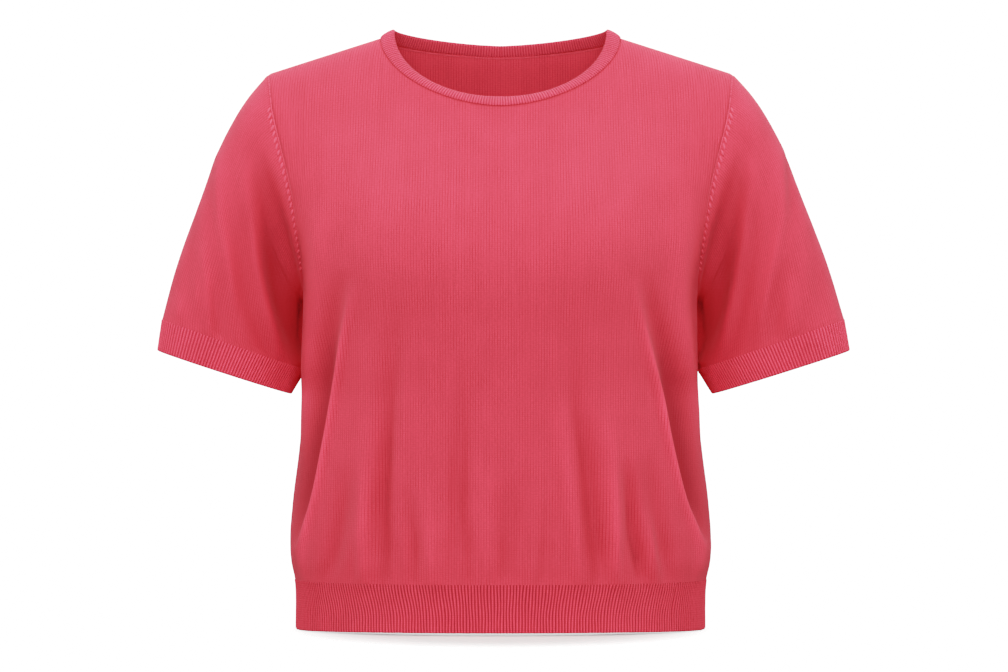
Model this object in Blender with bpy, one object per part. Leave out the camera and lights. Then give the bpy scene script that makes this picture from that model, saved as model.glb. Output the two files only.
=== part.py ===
"""Short-sleeved jumper in fine knit, round neck, filled out as it is when worn, with nobody in it.

All tables are in millimetres. +Z is up, the front faces -Y and the wearer's left sleeve is at +X.
The origin lies midway between the two highest points of the neckband, on the line where the
shoulders carry the garment. Every piece is an open wall of cloth: the neck, the hem, the armholes
and the cuffs are open.
"""

import math
from collections import namedtuple

import bmesh
import bpy
import numpy as np

MM = 0.001
FRONT = -1
BACK = 1

# ---------------------------------------------------------------- cloth and seams
BODY_WALL = 1.5
RIB_WALL = 2.0
SEAM_GAP = 0.3
HALF_GAP = SEAM_GAP / 2
BAND_GAP = 0.27
LONGEST_MITRE = 2.2 * BODY_WALL

# One by one ribs: one ridge and one groove for each pitch.
RIB_PITCH = 2.7
NECK_RIB_PITCH = 2.5
RIB_RISE = 0.35

# ---------------------------------------------------------------- body
# One row for each level of the body. Down to the underarm the half width is the width that the
# curve of the chest would reach behind the arm; from there down it is the side seam.
TorsoRow = namedtuple("TorsoRow", "z half_width front back squareness")
TORSO = [
    TorsoRow(0, 620, 44, 47, 2.30),
    TorsoRow(-20, 500, 49, 52, 2.30),
    TorsoRow(-38, 420, 55, 61, 2.30),
    TorsoRow(-69, 318, 66, 75, 2.30),
    TorsoRow(-108, 247, 86, 89, 2.30),
    TorsoRow(-141, 216, 102.5, 96, 2.35),
    TorsoRow(-180, 196, 118, 99, 2.40),
    TorsoRow(-211, 182.4, 127, 98, 2.45),
    TorsoRow(-236, 176.4, 129, 95, 2.45),
    TorsoRow(-265, 176.4, 127, 91, 2.40),
    TorsoRow(-300, 176.4, 124, 87.5, 2.35),
    TorsoRow(-322, 175.4, 122, 86.5, 2.30),
    TorsoRow(-345, 177.6, 120.5, 87, 2.30),
    TorsoRow(-380, 181.6, 118.5, 90, 2.30),
    TorsoRow(-425, 187.2, 116.5, 95, 2.30),
    TorsoRow(-460, 189.2, 115, 97.5, 2.30),
    TorsoRow(-478, 187.8, 112, 96, 2.30),
    TorsoRow(-490, 185.2, 107, 93, 2.30),
    TorsoRow(-534.5, 183.6, 104, 92, 2.30),
]
UNDERARM_Z = -236
RIB_TOP_Z = -490
HEM_Z = -534.5

# Shoulder seam from the neck seam to the sleeve seam, and how fast the neck would rise inside it.
SHOULDER_NECK_X = 108
SHOULDER_NECK_Z = -5.5
SHOULDER_TIP_X = 209
SHOULDER_TIP_Z = -38
NECK_RISE = 0.9
SHOULDER_ROLL = 150

# Sleeve seam as it shows from the front.
ArmholeRow = namedtuple("ArmholeRow", "z x")
ARMHOLE = [
    ArmholeRow(-38, 209),
    ArmholeRow(-76, 203),
    ArmholeRow(-108, 195),
    ArmholeRow(-141, 187),
    ArmholeRow(-180, 181),
    ArmholeRow(-211, 177.6),
    ArmholeRow(-236, 176.4),
]

# Neck seam and the band's top edge, on each side of the shoulder seams.
NeckRow = namedtuple("NeckRow", "side seam_drop top_drop top_y_share roundness")
NECK = {
    FRONT: NeckRow(FRONT, 63.2, 60.3, 0.85, 1.85),
    BACK: NeckRow(BACK, 14.5, 10.7, 0.80, 2.00),
}
NECK_TOP_X = 95.5
NECK_TOP_Z = -0.6

# Grid of each panel, from its middle to its side.
HALF_COLUMNS = 18
NECK_COLUMNS = 10
UPPER_ROWS = 11
LOWER_ROWS = 10
LOWER_CROWDING = 1.35

# ---------------------------------------------------------------- fullness and folds
# A soft swelling of the front where the cloth is eased over the chest.
Swell = namedtuple("Swell", "x z half_width half_height rise")
CHEST_FULLNESS = [
    Swell(-82, -190, 58, 60, 8.0),
    Swell(82, -190, 58, 60, 8.0),
]

# Folds hang above the rib. A fold runs from its top to its foot; rise is out of the cloth, and a
# negative rise is a trough. It is deepest at `peak` of its length.
Fold = namedtuple("Fold", "top_x top_z foot_x foot_z half_width rise peak")
FOLDS = {
    FRONT: [
        Fold(-130, -238, -172, -468, 13, 5.0, 0.55),
        Fold(-147, -262, -180, -440, 11, -5.0, 0.60),
        Fold(124, -238, 176, -468, 13, 5.0, 0.55),
        Fold(142, -262, 184, -440, 11, -5.0, 0.60),
        Fold(-96, -285, -112, -488, 12, -3.6, 0.75),
        Fold(-140, -395, -144, -488, 12, -3.0, 0.70),
        Fold(-36, -350, -40, -488, 13, -2.6, 0.72),
        Fold(8, -395, 6, -488, 12, -2.2, 0.70),
        Fold(66, -325, 92, -488, 13, -3.6, 0.75),
        Fold(98, -365, 106, -488, 10, 2.6, 0.72),
        Fold(132, -370, 142, -488, 12, -3.0, 0.72),
        Fold(-64, -395, -66, -488, 11, 2.2, 0.70),
    ],
    BACK: [
        Fold(-128, -262, -164, -470, 14, 4.6, 0.58),
        Fold(-146, -285, -174, -452, 11, -4.2, 0.62),
        Fold(132, -255, 168, -470, 14, 4.6, 0.58),
        Fold(149, -280, 176, -455, 11, -4.2, 0.62),
        Fold(-92, -330, -104, -488, 13, -3.2, 0.74),
        Fold(-46, -380, -52, -488, 13, -2.6, 0.72),
        Fold(4, -350, -2, -488, 14, -2.8, 0.72),
        Fold(50, -385, 58, -488, 12, -2.6, 0.72),
        Fold(88, -330, 104, -488, 13, -3.4, 0.74),
        Fold(136, -400, 140, -488, 12, -2.6, 0.72),
    ],
}

# ---------------------------------------------------------------- sleeves
# Rings of the sleeve from the armhole to the rib's edge, for the +X side. Each runs from its outer
# point over the front to its inner point and back; half_depth is its reach to front and back.
SleeveRing = namedtuple(
    "SleeveRing", "along outer_x outer_y outer_z inner_x inner_y inner_z half_depth squareness")
SLEEVE = [
    SleeveRing(0.09, 225.5, -2, -57.5, 176.6, 13, -241, 57, 2.1),
    SleeveRing(0.25, 247.5, -5, -93.5, 175.8, 26, -250, 60, 2.1),
    SleeveRing(0.50, 271.0, -9, -153, 174.8, 31, -268, 59, 2.1),
    SleeveRing(0.75, 291.0, -12, -207, 174.6, 31, -286, 56, 2.1),
    SleeveRing(1.00, 305.6, -14, -258.5, 177.4, 29, -303.5, 51, 2.1),
]
CUFF_EDGE = SleeveRing(1.15, 310.2, -13, -286.6, 190.8, 20, -325.8, 47, 2.1)
SLEEVE_ROWS = 11
LEFT_SPREAD = 2.4
RIGHT_SPREAD = -2.4

# Soft folds of each sleeve: place round it (0 outer, 0.25 front, 0.5 inner, 0.75 back), where it
# runs along the sleeve, its half width round it, and its rise.
SleeveFold = namedtuple("SleeveFold", "round_top round_foot along_top along_foot half_width rise")
SLEEVE_FOLDS = [
    SleeveFold(0.30, 0.43, 0.12, 1.05, 0.040, -6.5),
    SleeveFold(0.20, 0.24, 0.25, 1.00, 0.035, 2.6),
    SleeveFold(0.12, 0.11, 0.45, 1.05, 0.030, -1.8),
    SleeveFold(0.72, 0.67, 0.20, 1.00, 0.040, -3.0),
    SleeveFold(0.82, 0.80, 0.30, 1.00, 0.035, 2.2),
]

# ---------------------------------------------------------------- neckband section
# Points round the band's section: share of the band's width from its seam, distance out of its
# middle surface, and whether the ribs show there.
BandPoint = namedtuple("BandPoint", "share out ribbed")
BAND_SECTION = [
    BandPoint(0.00, 0.45, False),
    BandPoint(0.42, 1.20, True),
    BandPoint(0.92, 0.75, True),
    BandPoint(1.00, -0.75, False),
    BandPoint(0.50, -1.95, False),
    BandPoint(0.00, -1.50, False),
]

# ---------------------------------------------------------------- colours from the photograph
CORAL = (0.745, 0.094, 0.148, 1.0)
CORAL_RIB = (0.640, 0.072, 0.112, 1.0)
KNIT_ROUGHNESS = 0.85


# ================================================================ curves
def smooth_between(places, values, place):
    """Cubic through values at rising places, with each slope taken from its neighbours."""
    places = np.asarray(places, float)
    values = np.asarray(values, float)
    slopes = np.gradient(values, places, axis=0)
    index = int(np.clip(np.searchsorted(places, place, side="right") - 1, 0, len(places) - 2))
    step = places[index + 1] - places[index]
    t = (place - places[index]) / step
    keep_start = 2 * t ** 3 - 3 * t ** 2 + 1
    keep_end = 1 - keep_start
    lean_start = (t ** 3 - 2 * t ** 2 + t) * step
    lean_end = (t ** 3 - t ** 2) * step
    return (keep_start * values[index] + keep_end * values[index + 1]
            + lean_start * slopes[index] + lean_end * slopes[index + 1])


def level(table, column, z):
    """Value of a table's column at height z, where the table's rows run downward."""
    rows = table[::-1]
    return smooth_between([row.z for row in rows], [getattr(row, column) for row in rows], z)


def arc_shares(points, closed=False):
    """Share of the whole length at each point of a line, or of a closed loop."""
    following = np.roll(points, -1, axis=0) if closed else points[1:]
    steps = np.linalg.norm(following - points[:len(following)], axis=1)
    lengths = np.concatenate([[0.0], np.cumsum(steps)])
    shares = lengths / lengths[-1]
    return shares[:-1] if closed else shares


def resample(points, shares):
    """Points of a line at the given shares of its length."""
    points = np.asarray(points, float)
    own = arc_shares(points)
    return np.stack([np.interp(shares, own, points[:, axis]) for axis in range(3)], axis=1)


def unit(vectors):
    return vectors / np.linalg.norm(vectors, axis=-1, keepdims=True)


def mirrored(points):
    return points * np.array([-1.0, 1.0, 1.0])


# ================================================================ the body's surface
def ridge_height(x):
    """Height of the shoulder line over a point, carried on upward inside the neck."""
    outside = abs(x) - SHOULDER_NECK_X
    fall = (SHOULDER_NECK_Z - SHOULDER_TIP_Z) / (SHOULDER_TIP_X - SHOULDER_NECK_X)
    return SHOULDER_NECK_Z - outside * (fall if outside > 0 else NECK_RISE)


def torso_depth(x, z, side):
    """How far the front or the back stands off the plane of the side and shoulder seams."""
    half_width = level(TORSO, "half_width", z)
    power = level(TORSO, "squareness", z)
    middle = level(TORSO, "front" if side == FRONT else "back", z)
    inside = max(0.0, 1.0 - (abs(x) / half_width) ** power)
    below = min(1.0, max(0.0, (ridge_height(x) - z) / SHOULDER_ROLL))
    return middle * inside ** (1 / power) * math.sqrt(1 - (1 - below) ** 2)


def torso_point(x, z, side):
    return np.array([x, side * torso_depth(x, z, side), z])


def ring_quarter(z, side, count):
    """Points of one level from the middle of the front or back to the side seam."""
    half_width = level(TORSO, "half_width", z)
    turns = np.linspace(0, math.pi / 2, 121)
    dense = np.array([torso_point(half_width * math.sin(turn), z, side) for turn in turns])
    return resample(dense, np.linspace(0, 1, count + 1))


def ring_half(z, side, count):
    """Points of one level from the -X side seam round the front or back to the +X side seam."""
    quarter = ring_quarter(z, side, 160)
    whole = np.concatenate([mirrored(quarter)[:0:-1], quarter])
    return resample(whole, np.linspace(0, 1, count + 1))


def neck_shape(turn, side, half_width, top_z, drop):
    """Point of a neck line; turn is 0 over the shoulder and 1 in the middle of front or back."""
    power = 2 / NECK[side].roundness
    x = half_width * math.cos(turn * math.pi / 2) ** power
    return x, top_z - drop * math.sin(turn * math.pi / 2) ** power


def neck_seam_point(turn, side):
    x, z = neck_shape(turn, side, SHOULDER_NECK_X, SHOULDER_NECK_Z, NECK[side].seam_drop)
    return torso_point(x, z, side)


def neck_top_point(turn, side):
    x, z = neck_shape(turn, side, NECK_TOP_X, NECK_TOP_Z, NECK[side].top_drop)
    seam = neck_seam_point(turn, side)
    return np.array([x, seam[1] * NECK[side].top_y_share, z])


def armhole_line(side):
    """Sleeve seam from the underarm up to the shoulder, with close points at both ends."""
    middle_z = (UNDERARM_Z + SHOULDER_TIP_Z) / 2
    half_height = (SHOULDER_TIP_Z - UNDERARM_Z) / 2
    heights = [middle_z - half_height * math.cos(turn) for turn in np.linspace(0, math.pi, 161)]
    line = [torso_point(level(ARMHOLE, "x", z), z, side) for z in heights]
    line[0] = np.array([ARMHOLE[-1].x, 0.0, UNDERARM_Z])
    line[-1] = np.array([SHOULDER_TIP_X, 0.0, SHOULDER_TIP_Z])
    return np.array(line)


def upper_half(side):
    """Rows from the underarm level to the neck and shoulder, for the +X half of a panel."""
    rises = np.linspace(0, 1, 61)
    across = np.linspace(0, 1, HALF_COLUMNS + 1)
    bottom = ring_quarter(UNDERARM_Z, side, HALF_COLUMNS)
    neck = np.array([neck_seam_point(turn, side) for turn in np.linspace(1, 0, 121)])
    neck = resample(neck, np.linspace(0, 1, NECK_COLUMNS + 1))
    shoulder_shares = np.linspace(0, 1, HALF_COLUMNS - NECK_COLUMNS + 1)[1:, None]
    tip = np.array([SHOULDER_TIP_X, 0.0, SHOULDER_TIP_Z])
    shoulder = neck[-1] + (tip - neck[-1]) * shoulder_shares
    top = np.concatenate([neck, shoulder])
    middle_heights = np.linspace(UNDERARM_Z, neck[0][2], 121)
    middle = resample([torso_point(0.0, z, side) for z in middle_heights], rises)
    armhole = resample(armhole_line(side), rises)

    columns = []
    for index, share in enumerate(across):
        column = []
        for step, rise in enumerate(rises):
            ends = (1 - rise) * bottom[index] + rise * top[index]
            sides = (1 - share) * middle[step] + share * armhole[step]
            corners = ((1 - share) * ((1 - rise) * bottom[0] + rise * top[0])
                       + share * ((1 - rise) * bottom[-1] + rise * top[-1]))
            x, _, z = ends + sides - corners
            column.append(torso_point(x, z, side))
        if index == HALF_COLUMNS:
            column = armhole
        column[-1] = top[index]
        columns.append(resample(column, np.linspace(0, 1, UPPER_ROWS + 1)))
    return np.stack(columns, axis=1)


def lower_levels():
    """Heights of the rows from the rib seam up to the underarm, closer together near the rib."""
    shares = np.linspace(0, 1, LOWER_ROWS + 1) ** LOWER_CROWDING
    return RIB_TOP_Z + (UNDERARM_Z - RIB_TOP_Z) * shares


def fold_shape(share, peak):
    """Rise and fall of a fold along its length, greatest at its peak and nothing at both ends."""
    if share <= 0 or share >= 1:
        return 0.0
    eased = share / peak * 0.5 if share < peak else 0.5 + (share - peak) / (1 - peak) * 0.5
    return math.sin(eased * math.pi) ** 1.4


def relief(x, z, side):
    """Height of the fullness and the folds at a point of a panel."""
    total = 0.0
    if side == FRONT:
        for swell in CHEST_FULLNESS:
            away = ((x - swell.x) / swell.half_width) ** 2 + ((z - swell.z) / swell.half_height) ** 2
            total += swell.rise * math.exp(-away)
    for fold in FOLDS[side]:
        share = (fold.top_z - z) / (fold.top_z - fold.foot_z)
        centre = fold.top_x + (fold.foot_x - fold.top_x) * share
        away = ((x - centre) / fold.half_width) ** 2
        total += fold.rise * fold_shape(share, fold.peak) * math.exp(-away)
    return total


def panel_points(side):
    """Outer points of a panel: rows from the rib seam up, columns from -X to +X."""
    rows = [ring_quarter(z, side, HALF_COLUMNS) for z in lower_levels()]
    half = np.concatenate([np.array(rows[:-1]), upper_half(side)])
    plain = np.concatenate([mirrored(half)[:, :0:-1], half], axis=1)
    outward = panel_normals(plain, side)
    edge = np.abs(np.linspace(-1, 1, plain.shape[1]))
    stay = 1 - edge ** 14
    shaped = plain.copy()
    for row in range(1, plain.shape[0] - 1):
        for column in range(plain.shape[1]):
            x, _, z = plain[row, column]
            shaped[row, column] += outward[row, column] * relief(x, z, side) * stay[column]
    return shaped


def panel_normals(points, side):
    """Outward directions, laid in the plane of each seam so that both pieces share them."""
    along_rows = np.gradient(points, axis=0)
    along_columns = np.gradient(points, axis=1)
    normals = -side * unit(np.cross(along_columns, along_rows))
    middle = HALF_COLUMNS
    normals[0, :, 2] = 0
    normals[:LOWER_ROWS + 1, [0, -1], 1] = 0
    normals[-1, :middle - NECK_COLUMNS + 1, 1] = 0
    normals[-1, middle + NECK_COLUMNS:, 1] = 0
    return unit(normals)


# ================================================================ the sleeves
def ring_points(ring, spread, count):
    """Loop of a sleeve ring: outer point, front, inner point, back; equal steps on each half."""
    reach = spread * ring.along
    outer = np.array([ring.outer_x + reach, ring.outer_y, ring.outer_z])
    inner = np.array([ring.inner_x + reach * 0.4, ring.inner_y, ring.inner_z])
    centre = (outer + inner) / 2
    arm = (outer - inner) / 2
    forward = np.array([0.0, -ring.half_depth, 0.0])
    power = 2 / ring.squareness

    def half(first):
        line = []
        for turn in np.linspace(first, first + math.pi, 181):
            c, s = math.cos(turn), math.sin(turn)
            line.append(centre + arm * math.copysign(abs(c) ** power, c)
                        + forward * math.copysign(abs(s) ** power, s))
        return resample(line, np.linspace(0, 1, count // 2 + 1))[:-1]

    return np.concatenate([half(0.0), half(math.pi)])


def armhole_loop(front, back):
    """Seam of the +X sleeve: shoulder, down the front edge, underarm, up the back edge."""
    front_edge = front[:LOWER_ROWS - 1:-1, -1]
    back_edge = back[LOWER_ROWS:, -1]
    return np.concatenate([front_edge, back_edge[1:-1]])


def sleeve_points(loop, spread):
    """Outer points of the +X sleeve: rows from the armhole to the rib, columns round it."""
    count = len(loop)
    keys = [loop] + [ring_points(ring, spread, count) for ring in SLEEVE]
    places = [0.0] + [ring.along for ring in SLEEVE]
    rows = [smooth_between(places, keys, along) for along in np.linspace(0, 1, SLEEVE_ROWS + 1)]
    plain = np.array(rows)
    outward = sleeve_normals(plain)
    shaped = plain.copy()
    for row in range(1, SLEEVE_ROWS):
        along = row / SLEEVE_ROWS
        for column in range(count):
            place = column / count
            shaped[row, column] += outward[row, column] * sleeve_relief(along, place)
    return shaped


def sleeve_relief(along, place):
    total = 0.0
    for fold in SLEEVE_FOLDS:
        share = (along - fold.along_top) / (fold.along_foot - fold.along_top)
        centre = fold.round_top + (fold.round_foot - fold.round_top) * share
        away = ((place - centre) / fold.half_width) ** 2
        total += fold.rise * fold_shape(share, 0.55) * math.exp(-away)
    return total


def sleeve_normals(points):
    """Outward directions of a tube; those of its last ring lie in that ring's plane."""
    down = np.gradient(points, axis=0)
    around = (np.roll(points, -1, axis=1) - np.roll(points, 1, axis=1)) / 2
    normals = unit(np.cross(around, down))
    axis = loop_axis(points[-1])
    normals[-1] -= np.outer(normals[-1] @ axis, axis)
    return unit(normals)


def loop_axis(loop):
    """Direction square to a flat loop, pointing down the sleeve."""
    centre = loop.mean(axis=0)
    following = np.roll(loop, -1, axis=0)
    total = np.cross(loop - centre, following - centre).sum(axis=0)
    axis = total / np.linalg.norm(total)
    return axis if axis[2] < 0 else -axis


def mitre(loop, body_normals, sleeve_out):
    """Shared inner edge and shared square direction of the joint of body and sleeve."""
    both = body_normals + sleeve_out
    size = np.linalg.norm(both, axis=1, keepdims=True)
    reach = np.minimum(2 * BODY_WALL / np.maximum(size, 1e-6), LONGEST_MITRE)
    inward = -both / np.maximum(size, 1e-6) * reach
    tangent = unit(np.roll(loop, -1, axis=0) - np.roll(loop, 1, axis=0))
    toward_sleeve = unit(np.cross(tangent, inward))
    return inward, toward_sleeve


# ================================================================ solids
class Wall:
    """Points and faces of one closed wall."""

    def __init__(self):
        self.points = []
        self.faces = []

    def add(self, points):
        first = len(self.points)
        self.points.extend(np.asarray(points, float).reshape(-1, 3))
        return first + np.arange(len(self.points) - first).reshape(np.shape(points)[:-1])

    def lattice(self, index, closed=False):
        """Faces of a grid of points; a closed grid joins its last column to its first."""
        if closed:
            index = np.concatenate([index, index[:, :1]], axis=1)
        for row, above in zip(index[:-1], index[1:]):
            for column in range(len(row) - 1):
                corner = (row[column], row[column + 1], above[column + 1], above[column])
                self.faces.append(tuple(int(c) for c in corner))

    def zip(self, first, second, closed=False):
        """Triangles between two lines whose points differ in number, matched by length."""
        first_shares = self.shares(first, closed)
        second_shares = self.shares(second, closed)
        if closed:
            first = np.append(first, first[0])
            second = np.append(second, second[0])
        i = j = 0
        while i < len(first) - 1 or j < len(second) - 1:
            step_first = j == len(second) - 1 or (
                i < len(first) - 1 and first_shares[i + 1] <= second_shares[j + 1])
            tip = first[i + 1] if step_first else second[j + 1]
            self.faces.append((int(first[i]), int(second[j]), int(tip)))
            i, j = (i + 1, j) if step_first else (i, j + 1)

    def shares(self, index, closed):
        shares = arc_shares(np.array([self.points[i] for i in index]), closed)
        return np.append(shares, 1.0) if closed else shares

    def make(self, name, colour):
        mesh = bpy.data.meshes.new(name)
        mesh.from_pydata([tuple(point * MM) for point in self.points], [], self.faces)
        shape = bmesh.new()
        shape.from_mesh(mesh)
        bmesh.ops.recalc_face_normals(shape, faces=shape.faces)
        shape.to_mesh(mesh)
        shape.free()
        mesh.shade_smooth()
        mesh.materials.append(knit_material(name, colour))
        piece = bpy.data.objects.new(name, mesh)
        garment.objects.link(piece)
        return piece


def knit_material(name, colour):
    material = bpy.data.materials.new(name + "_knit")
    material.use_nodes = True
    shader = material.node_tree.nodes["Principled BSDF"]
    shader.inputs["Base Color"].default_value = colour
    shader.inputs["Roughness"].default_value = KNIT_ROUGHNESS
    shader.inputs["Metallic"].default_value = 0.0
    material.diffuse_color = colour
    return material


def make_panel(name, points, side, joints):
    """Front or back: joints holds the mitre of each armhole edge, as -X and +X (inward, away)."""
    normals = panel_normals(points, side)
    inward = -normals * BODY_WALL
    shift = np.zeros_like(points)
    middle = HALF_COLUMNS
    shift[0, :, 2] += HALF_GAP
    shift[:LOWER_ROWS + 1, [0, -1], 1] += side * HALF_GAP
    shift[-1, :middle - NECK_COLUMNS + 1, 1] += side * HALF_GAP
    shift[-1, middle + NECK_COLUMNS:, 1] += side * HALF_GAP
    neck = slice(middle - NECK_COLUMNS, middle + NECK_COLUMNS + 1)
    shift[-1, neck] += off_neck(points[-1, neck], normals[-1, neck]) * HALF_GAP
    for column, (edge_inward, away) in zip((0, -1), joints):
        inward[LOWER_ROWS:, column] = edge_inward
        shift[LOWER_ROWS:, column] += away * HALF_GAP
    wall = Wall()
    outer = wall.add(points + shift)
    inner = wall.add(points + inward + shift)
    close_wall(wall, outer, inner)
    return wall.make(name, CORAL)


def off_neck(line, normals):
    """Directions in the cloth, square to its neck edge and away from the neck."""
    away = unit(np.cross(np.gradient(line, axis=0), normals))
    return away * np.sign(-away[:, 2:])


def close_wall(wall, outer, inner, closed=False):
    """Faces of both sides of a wall and of its edges."""
    wall.lattice(outer, closed)
    wall.lattice(inner, closed)
    for row in (0, -1):
        if outer.shape == inner.shape:
            wall.lattice(np.stack([outer[row], inner[row]]), closed)
        else:
            wall.zip(outer[row], inner[row], closed)
    if not closed:
        for column in (0, -1):
            wall.lattice(np.stack([outer[:, column], inner[:, column]]))


def make_sleeve(name, points, inward_edge, toward_sleeve, mirror):
    normals = sleeve_normals(points)
    inward = -normals * BODY_WALL
    inward[0] = inward_edge
    shift = np.zeros_like(points)
    shift[0] = toward_sleeve * HALF_GAP
    shift[-1] = -loop_axis(points[-1]) * HALF_GAP
    outer_points = points + shift
    inner_points = points + inward + shift
    wall = Wall()
    outer = wall.add(mirrored(outer_points) if mirror else outer_points)
    inner = wall.add(mirrored(inner_points) if mirror else inner_points)
    close_wall(wall, outer, inner, closed=True)
    return wall.make(name, CORAL)


def rib_offsets(count):
    """Ridge and groove in turn."""
    return np.where(np.arange(count) % 2 == 0, -RIB_RISE, RIB_RISE)[:, None]


def make_cuff(name, spread, mirror, inner_count):
    """Ribbed tube under the sleeve: ridges and grooves outside, plain inside."""
    edges = (SLEEVE[-1], CUFF_EDGE)
    length = loop_length(ring_points(CUFF_EDGE, spread, 360))
    ridge_count = 2 * round(length / RIB_PITCH / 2)
    axis = loop_axis(ring_points(SLEEVE[-1], spread, 360))
    outer_rows, inner_rows = [], []
    for ring in edges:
        drop = axis * HALF_GAP if ring is SLEEVE[-1] else np.zeros(3)
        fine = ring_points(ring, spread, 2 * ridge_count) + drop
        coarse = ring_points(ring, spread, inner_count) + drop
        outer_rows.append(fine + flat_normals(fine) * rib_offsets(2 * ridge_count))
        inner_rows.append(coarse - flat_normals(coarse) * RIB_WALL)
    outer_points, inner_points = np.array(outer_rows), np.array(inner_rows)
    wall = Wall()
    outer = wall.add(mirrored(outer_points) if mirror else outer_points)
    inner = wall.add(mirrored(inner_points) if mirror else inner_points)
    close_wall(wall, outer, inner, closed=True)
    return wall.make(name, CORAL_RIB)


def loop_length(loop):
    return np.linalg.norm(np.roll(loop, -1, axis=0) - loop, axis=1).sum()


def flat_normals(loop):
    """Outward directions of a flat loop, in its own plane."""
    tangent = np.roll(loop, -1, axis=0) - np.roll(loop, 1, axis=0)
    normals = unit(np.cross(loop_axis(loop), tangent))
    outward = np.einsum("ij,ij->i", normals, loop - loop.mean(axis=0)).sum() > 0
    return normals if outward else -normals


def make_hem(name, side):
    """Ribbed welt under the front or the back, from side seam to side seam."""
    dense = ring_half(HEM_Z, side, 600)
    length = np.linalg.norm(np.diff(dense, axis=0), axis=1).sum()
    ridge_count = round(length / RIB_PITCH)
    outer_rows, inner_rows = [], []
    for z in (RIB_TOP_Z - HALF_GAP, HEM_Z):
        fine = ring_half(z, side, 2 * ridge_count)
        coarse = ring_half(z, side, 2 * HALF_COLUMNS)
        outer_rows.append(fine + level_normals(fine, side) * rib_offsets(len(fine)))
        inner_rows.append(coarse - level_normals(coarse, side) * RIB_WALL)
    apart = np.array([0.0, side * HALF_GAP, 0.0])
    wall = Wall()
    outer = wall.add(np.array(outer_rows) + apart)
    inner = wall.add(np.array(inner_rows) + apart)
    close_wall(wall, outer, inner)
    return wall.make(name, CORAL_RIB)


def level_normals(line, side):
    """Outward directions of a level line, square to the side seams at its ends."""
    tangent = np.gradient(line, axis=0)
    normals = side * np.stack([-tangent[:, 1], tangent[:, 0], np.zeros(len(line))], axis=1)
    normals[[0, -1], 1] = 0
    return unit(normals)


def neck_loop(seam_turns):
    """Seam and top points all round the neck for the turns of one quarter, from +X over the front."""
    seam, top = [], []
    for side, turns in ((FRONT, seam_turns), (FRONT, seam_turns[::-1]),
                        (BACK, seam_turns), (BACK, seam_turns[::-1])):
        quarter = len(seam) // (len(seam_turns) - 1)
        flip = quarter in (1, 2)
        for turn in turns[:-1]:
            for line, point in ((seam, neck_seam_point(turn, side)), (top, neck_top_point(turn, side))):
                line.append(mirrored(point) if flip else point)
    return np.array(seam), np.array(top)


def closed_resample(points, shares):
    return resample(np.concatenate([points, points[:1]]), shares)


def band_frame(seam, top):
    """Directions of the band at each place: across it, and out of it."""
    tangent = unit(np.roll(seam, -1, axis=0) - np.roll(seam, 1, axis=0))
    across = top - seam
    across -= tangent * np.einsum("ij,ij->i", across, tangent)[:, None]
    width = np.linalg.norm(across, axis=1, keepdims=True)
    outward = unit(np.cross(across, tangent))
    outward *= np.sign(outward[:, 2:] + 1e-9)
    return across / width, outward, width


def neck_edge(front, back):
    """Values at the neck edge of both panels, from +X over the front and round the back."""
    low, high = HALF_COLUMNS - NECK_COLUMNS, HALF_COLUMNS + NECK_COLUMNS
    return np.concatenate([front[-1, high:low:-1], back[-1, low:high]])


def make_neckband(name, points, normals):
    """Doubled band round the neck: ribs outside, plain inside and at its seam."""
    dense_seam, dense_top = neck_loop(np.linspace(0, 1, 161))
    plain_seam = neck_edge(points[FRONT], points[BACK])
    plain_normals = neck_edge(normals[FRONT], normals[BACK])
    toward_neck = -off_neck_loop(plain_seam, plain_normals)
    plain_shares = arc_shares(plain_seam, closed=True)
    dense_shares = arc_shares(dense_seam, closed=True)
    plain_top = np.stack([np.interp(plain_shares, dense_shares, dense_top[:, axis])
                          for axis in range(3)], axis=1)
    ridge_count = round(loop_length(dense_seam) / NECK_RIB_PITCH)
    fine_shares = np.linspace(0, 1, 2 * ridge_count + 1)[:-1]
    fine_seam = closed_resample(dense_seam, fine_shares)
    fine_top = np.stack([np.interp(fine_shares, dense_shares, dense_top[:, axis])
                         for axis in range(3)], axis=1)
    wall = Wall()
    loops = []
    for point in BAND_SECTION:
        if point.share == 0:
            loops.append(wall.add(plain_seam + toward_neck * BAND_GAP + plain_normals * point.out))
            continue
        seam, top = (fine_seam, fine_top) if point.ribbed else (plain_seam, plain_top)
        across, outward, width = band_frame(seam, top)
        out = point.out + (rib_offsets(len(seam)) if point.ribbed else 0)
        loops.append(wall.add(seam + across * width * point.share + outward * out))
    for first, second in zip(loops, loops[1:] + loops[:1]):
        if len(first) == len(second):
            wall.lattice(np.stack([first, second]), closed=True)
        else:
            wall.zip(first, second, closed=True)
    return wall.make(name, CORAL_RIB)


def off_neck_loop(loop, normals):
    """Same as off_neck, round the whole neck."""
    wrapped = np.concatenate([loop[-1:], loop, loop[:1]])
    wrapped_normals = np.concatenate([normals[-1:], normals, normals[:1]])
    return off_neck(wrapped, wrapped_normals)[1:-1]


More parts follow.
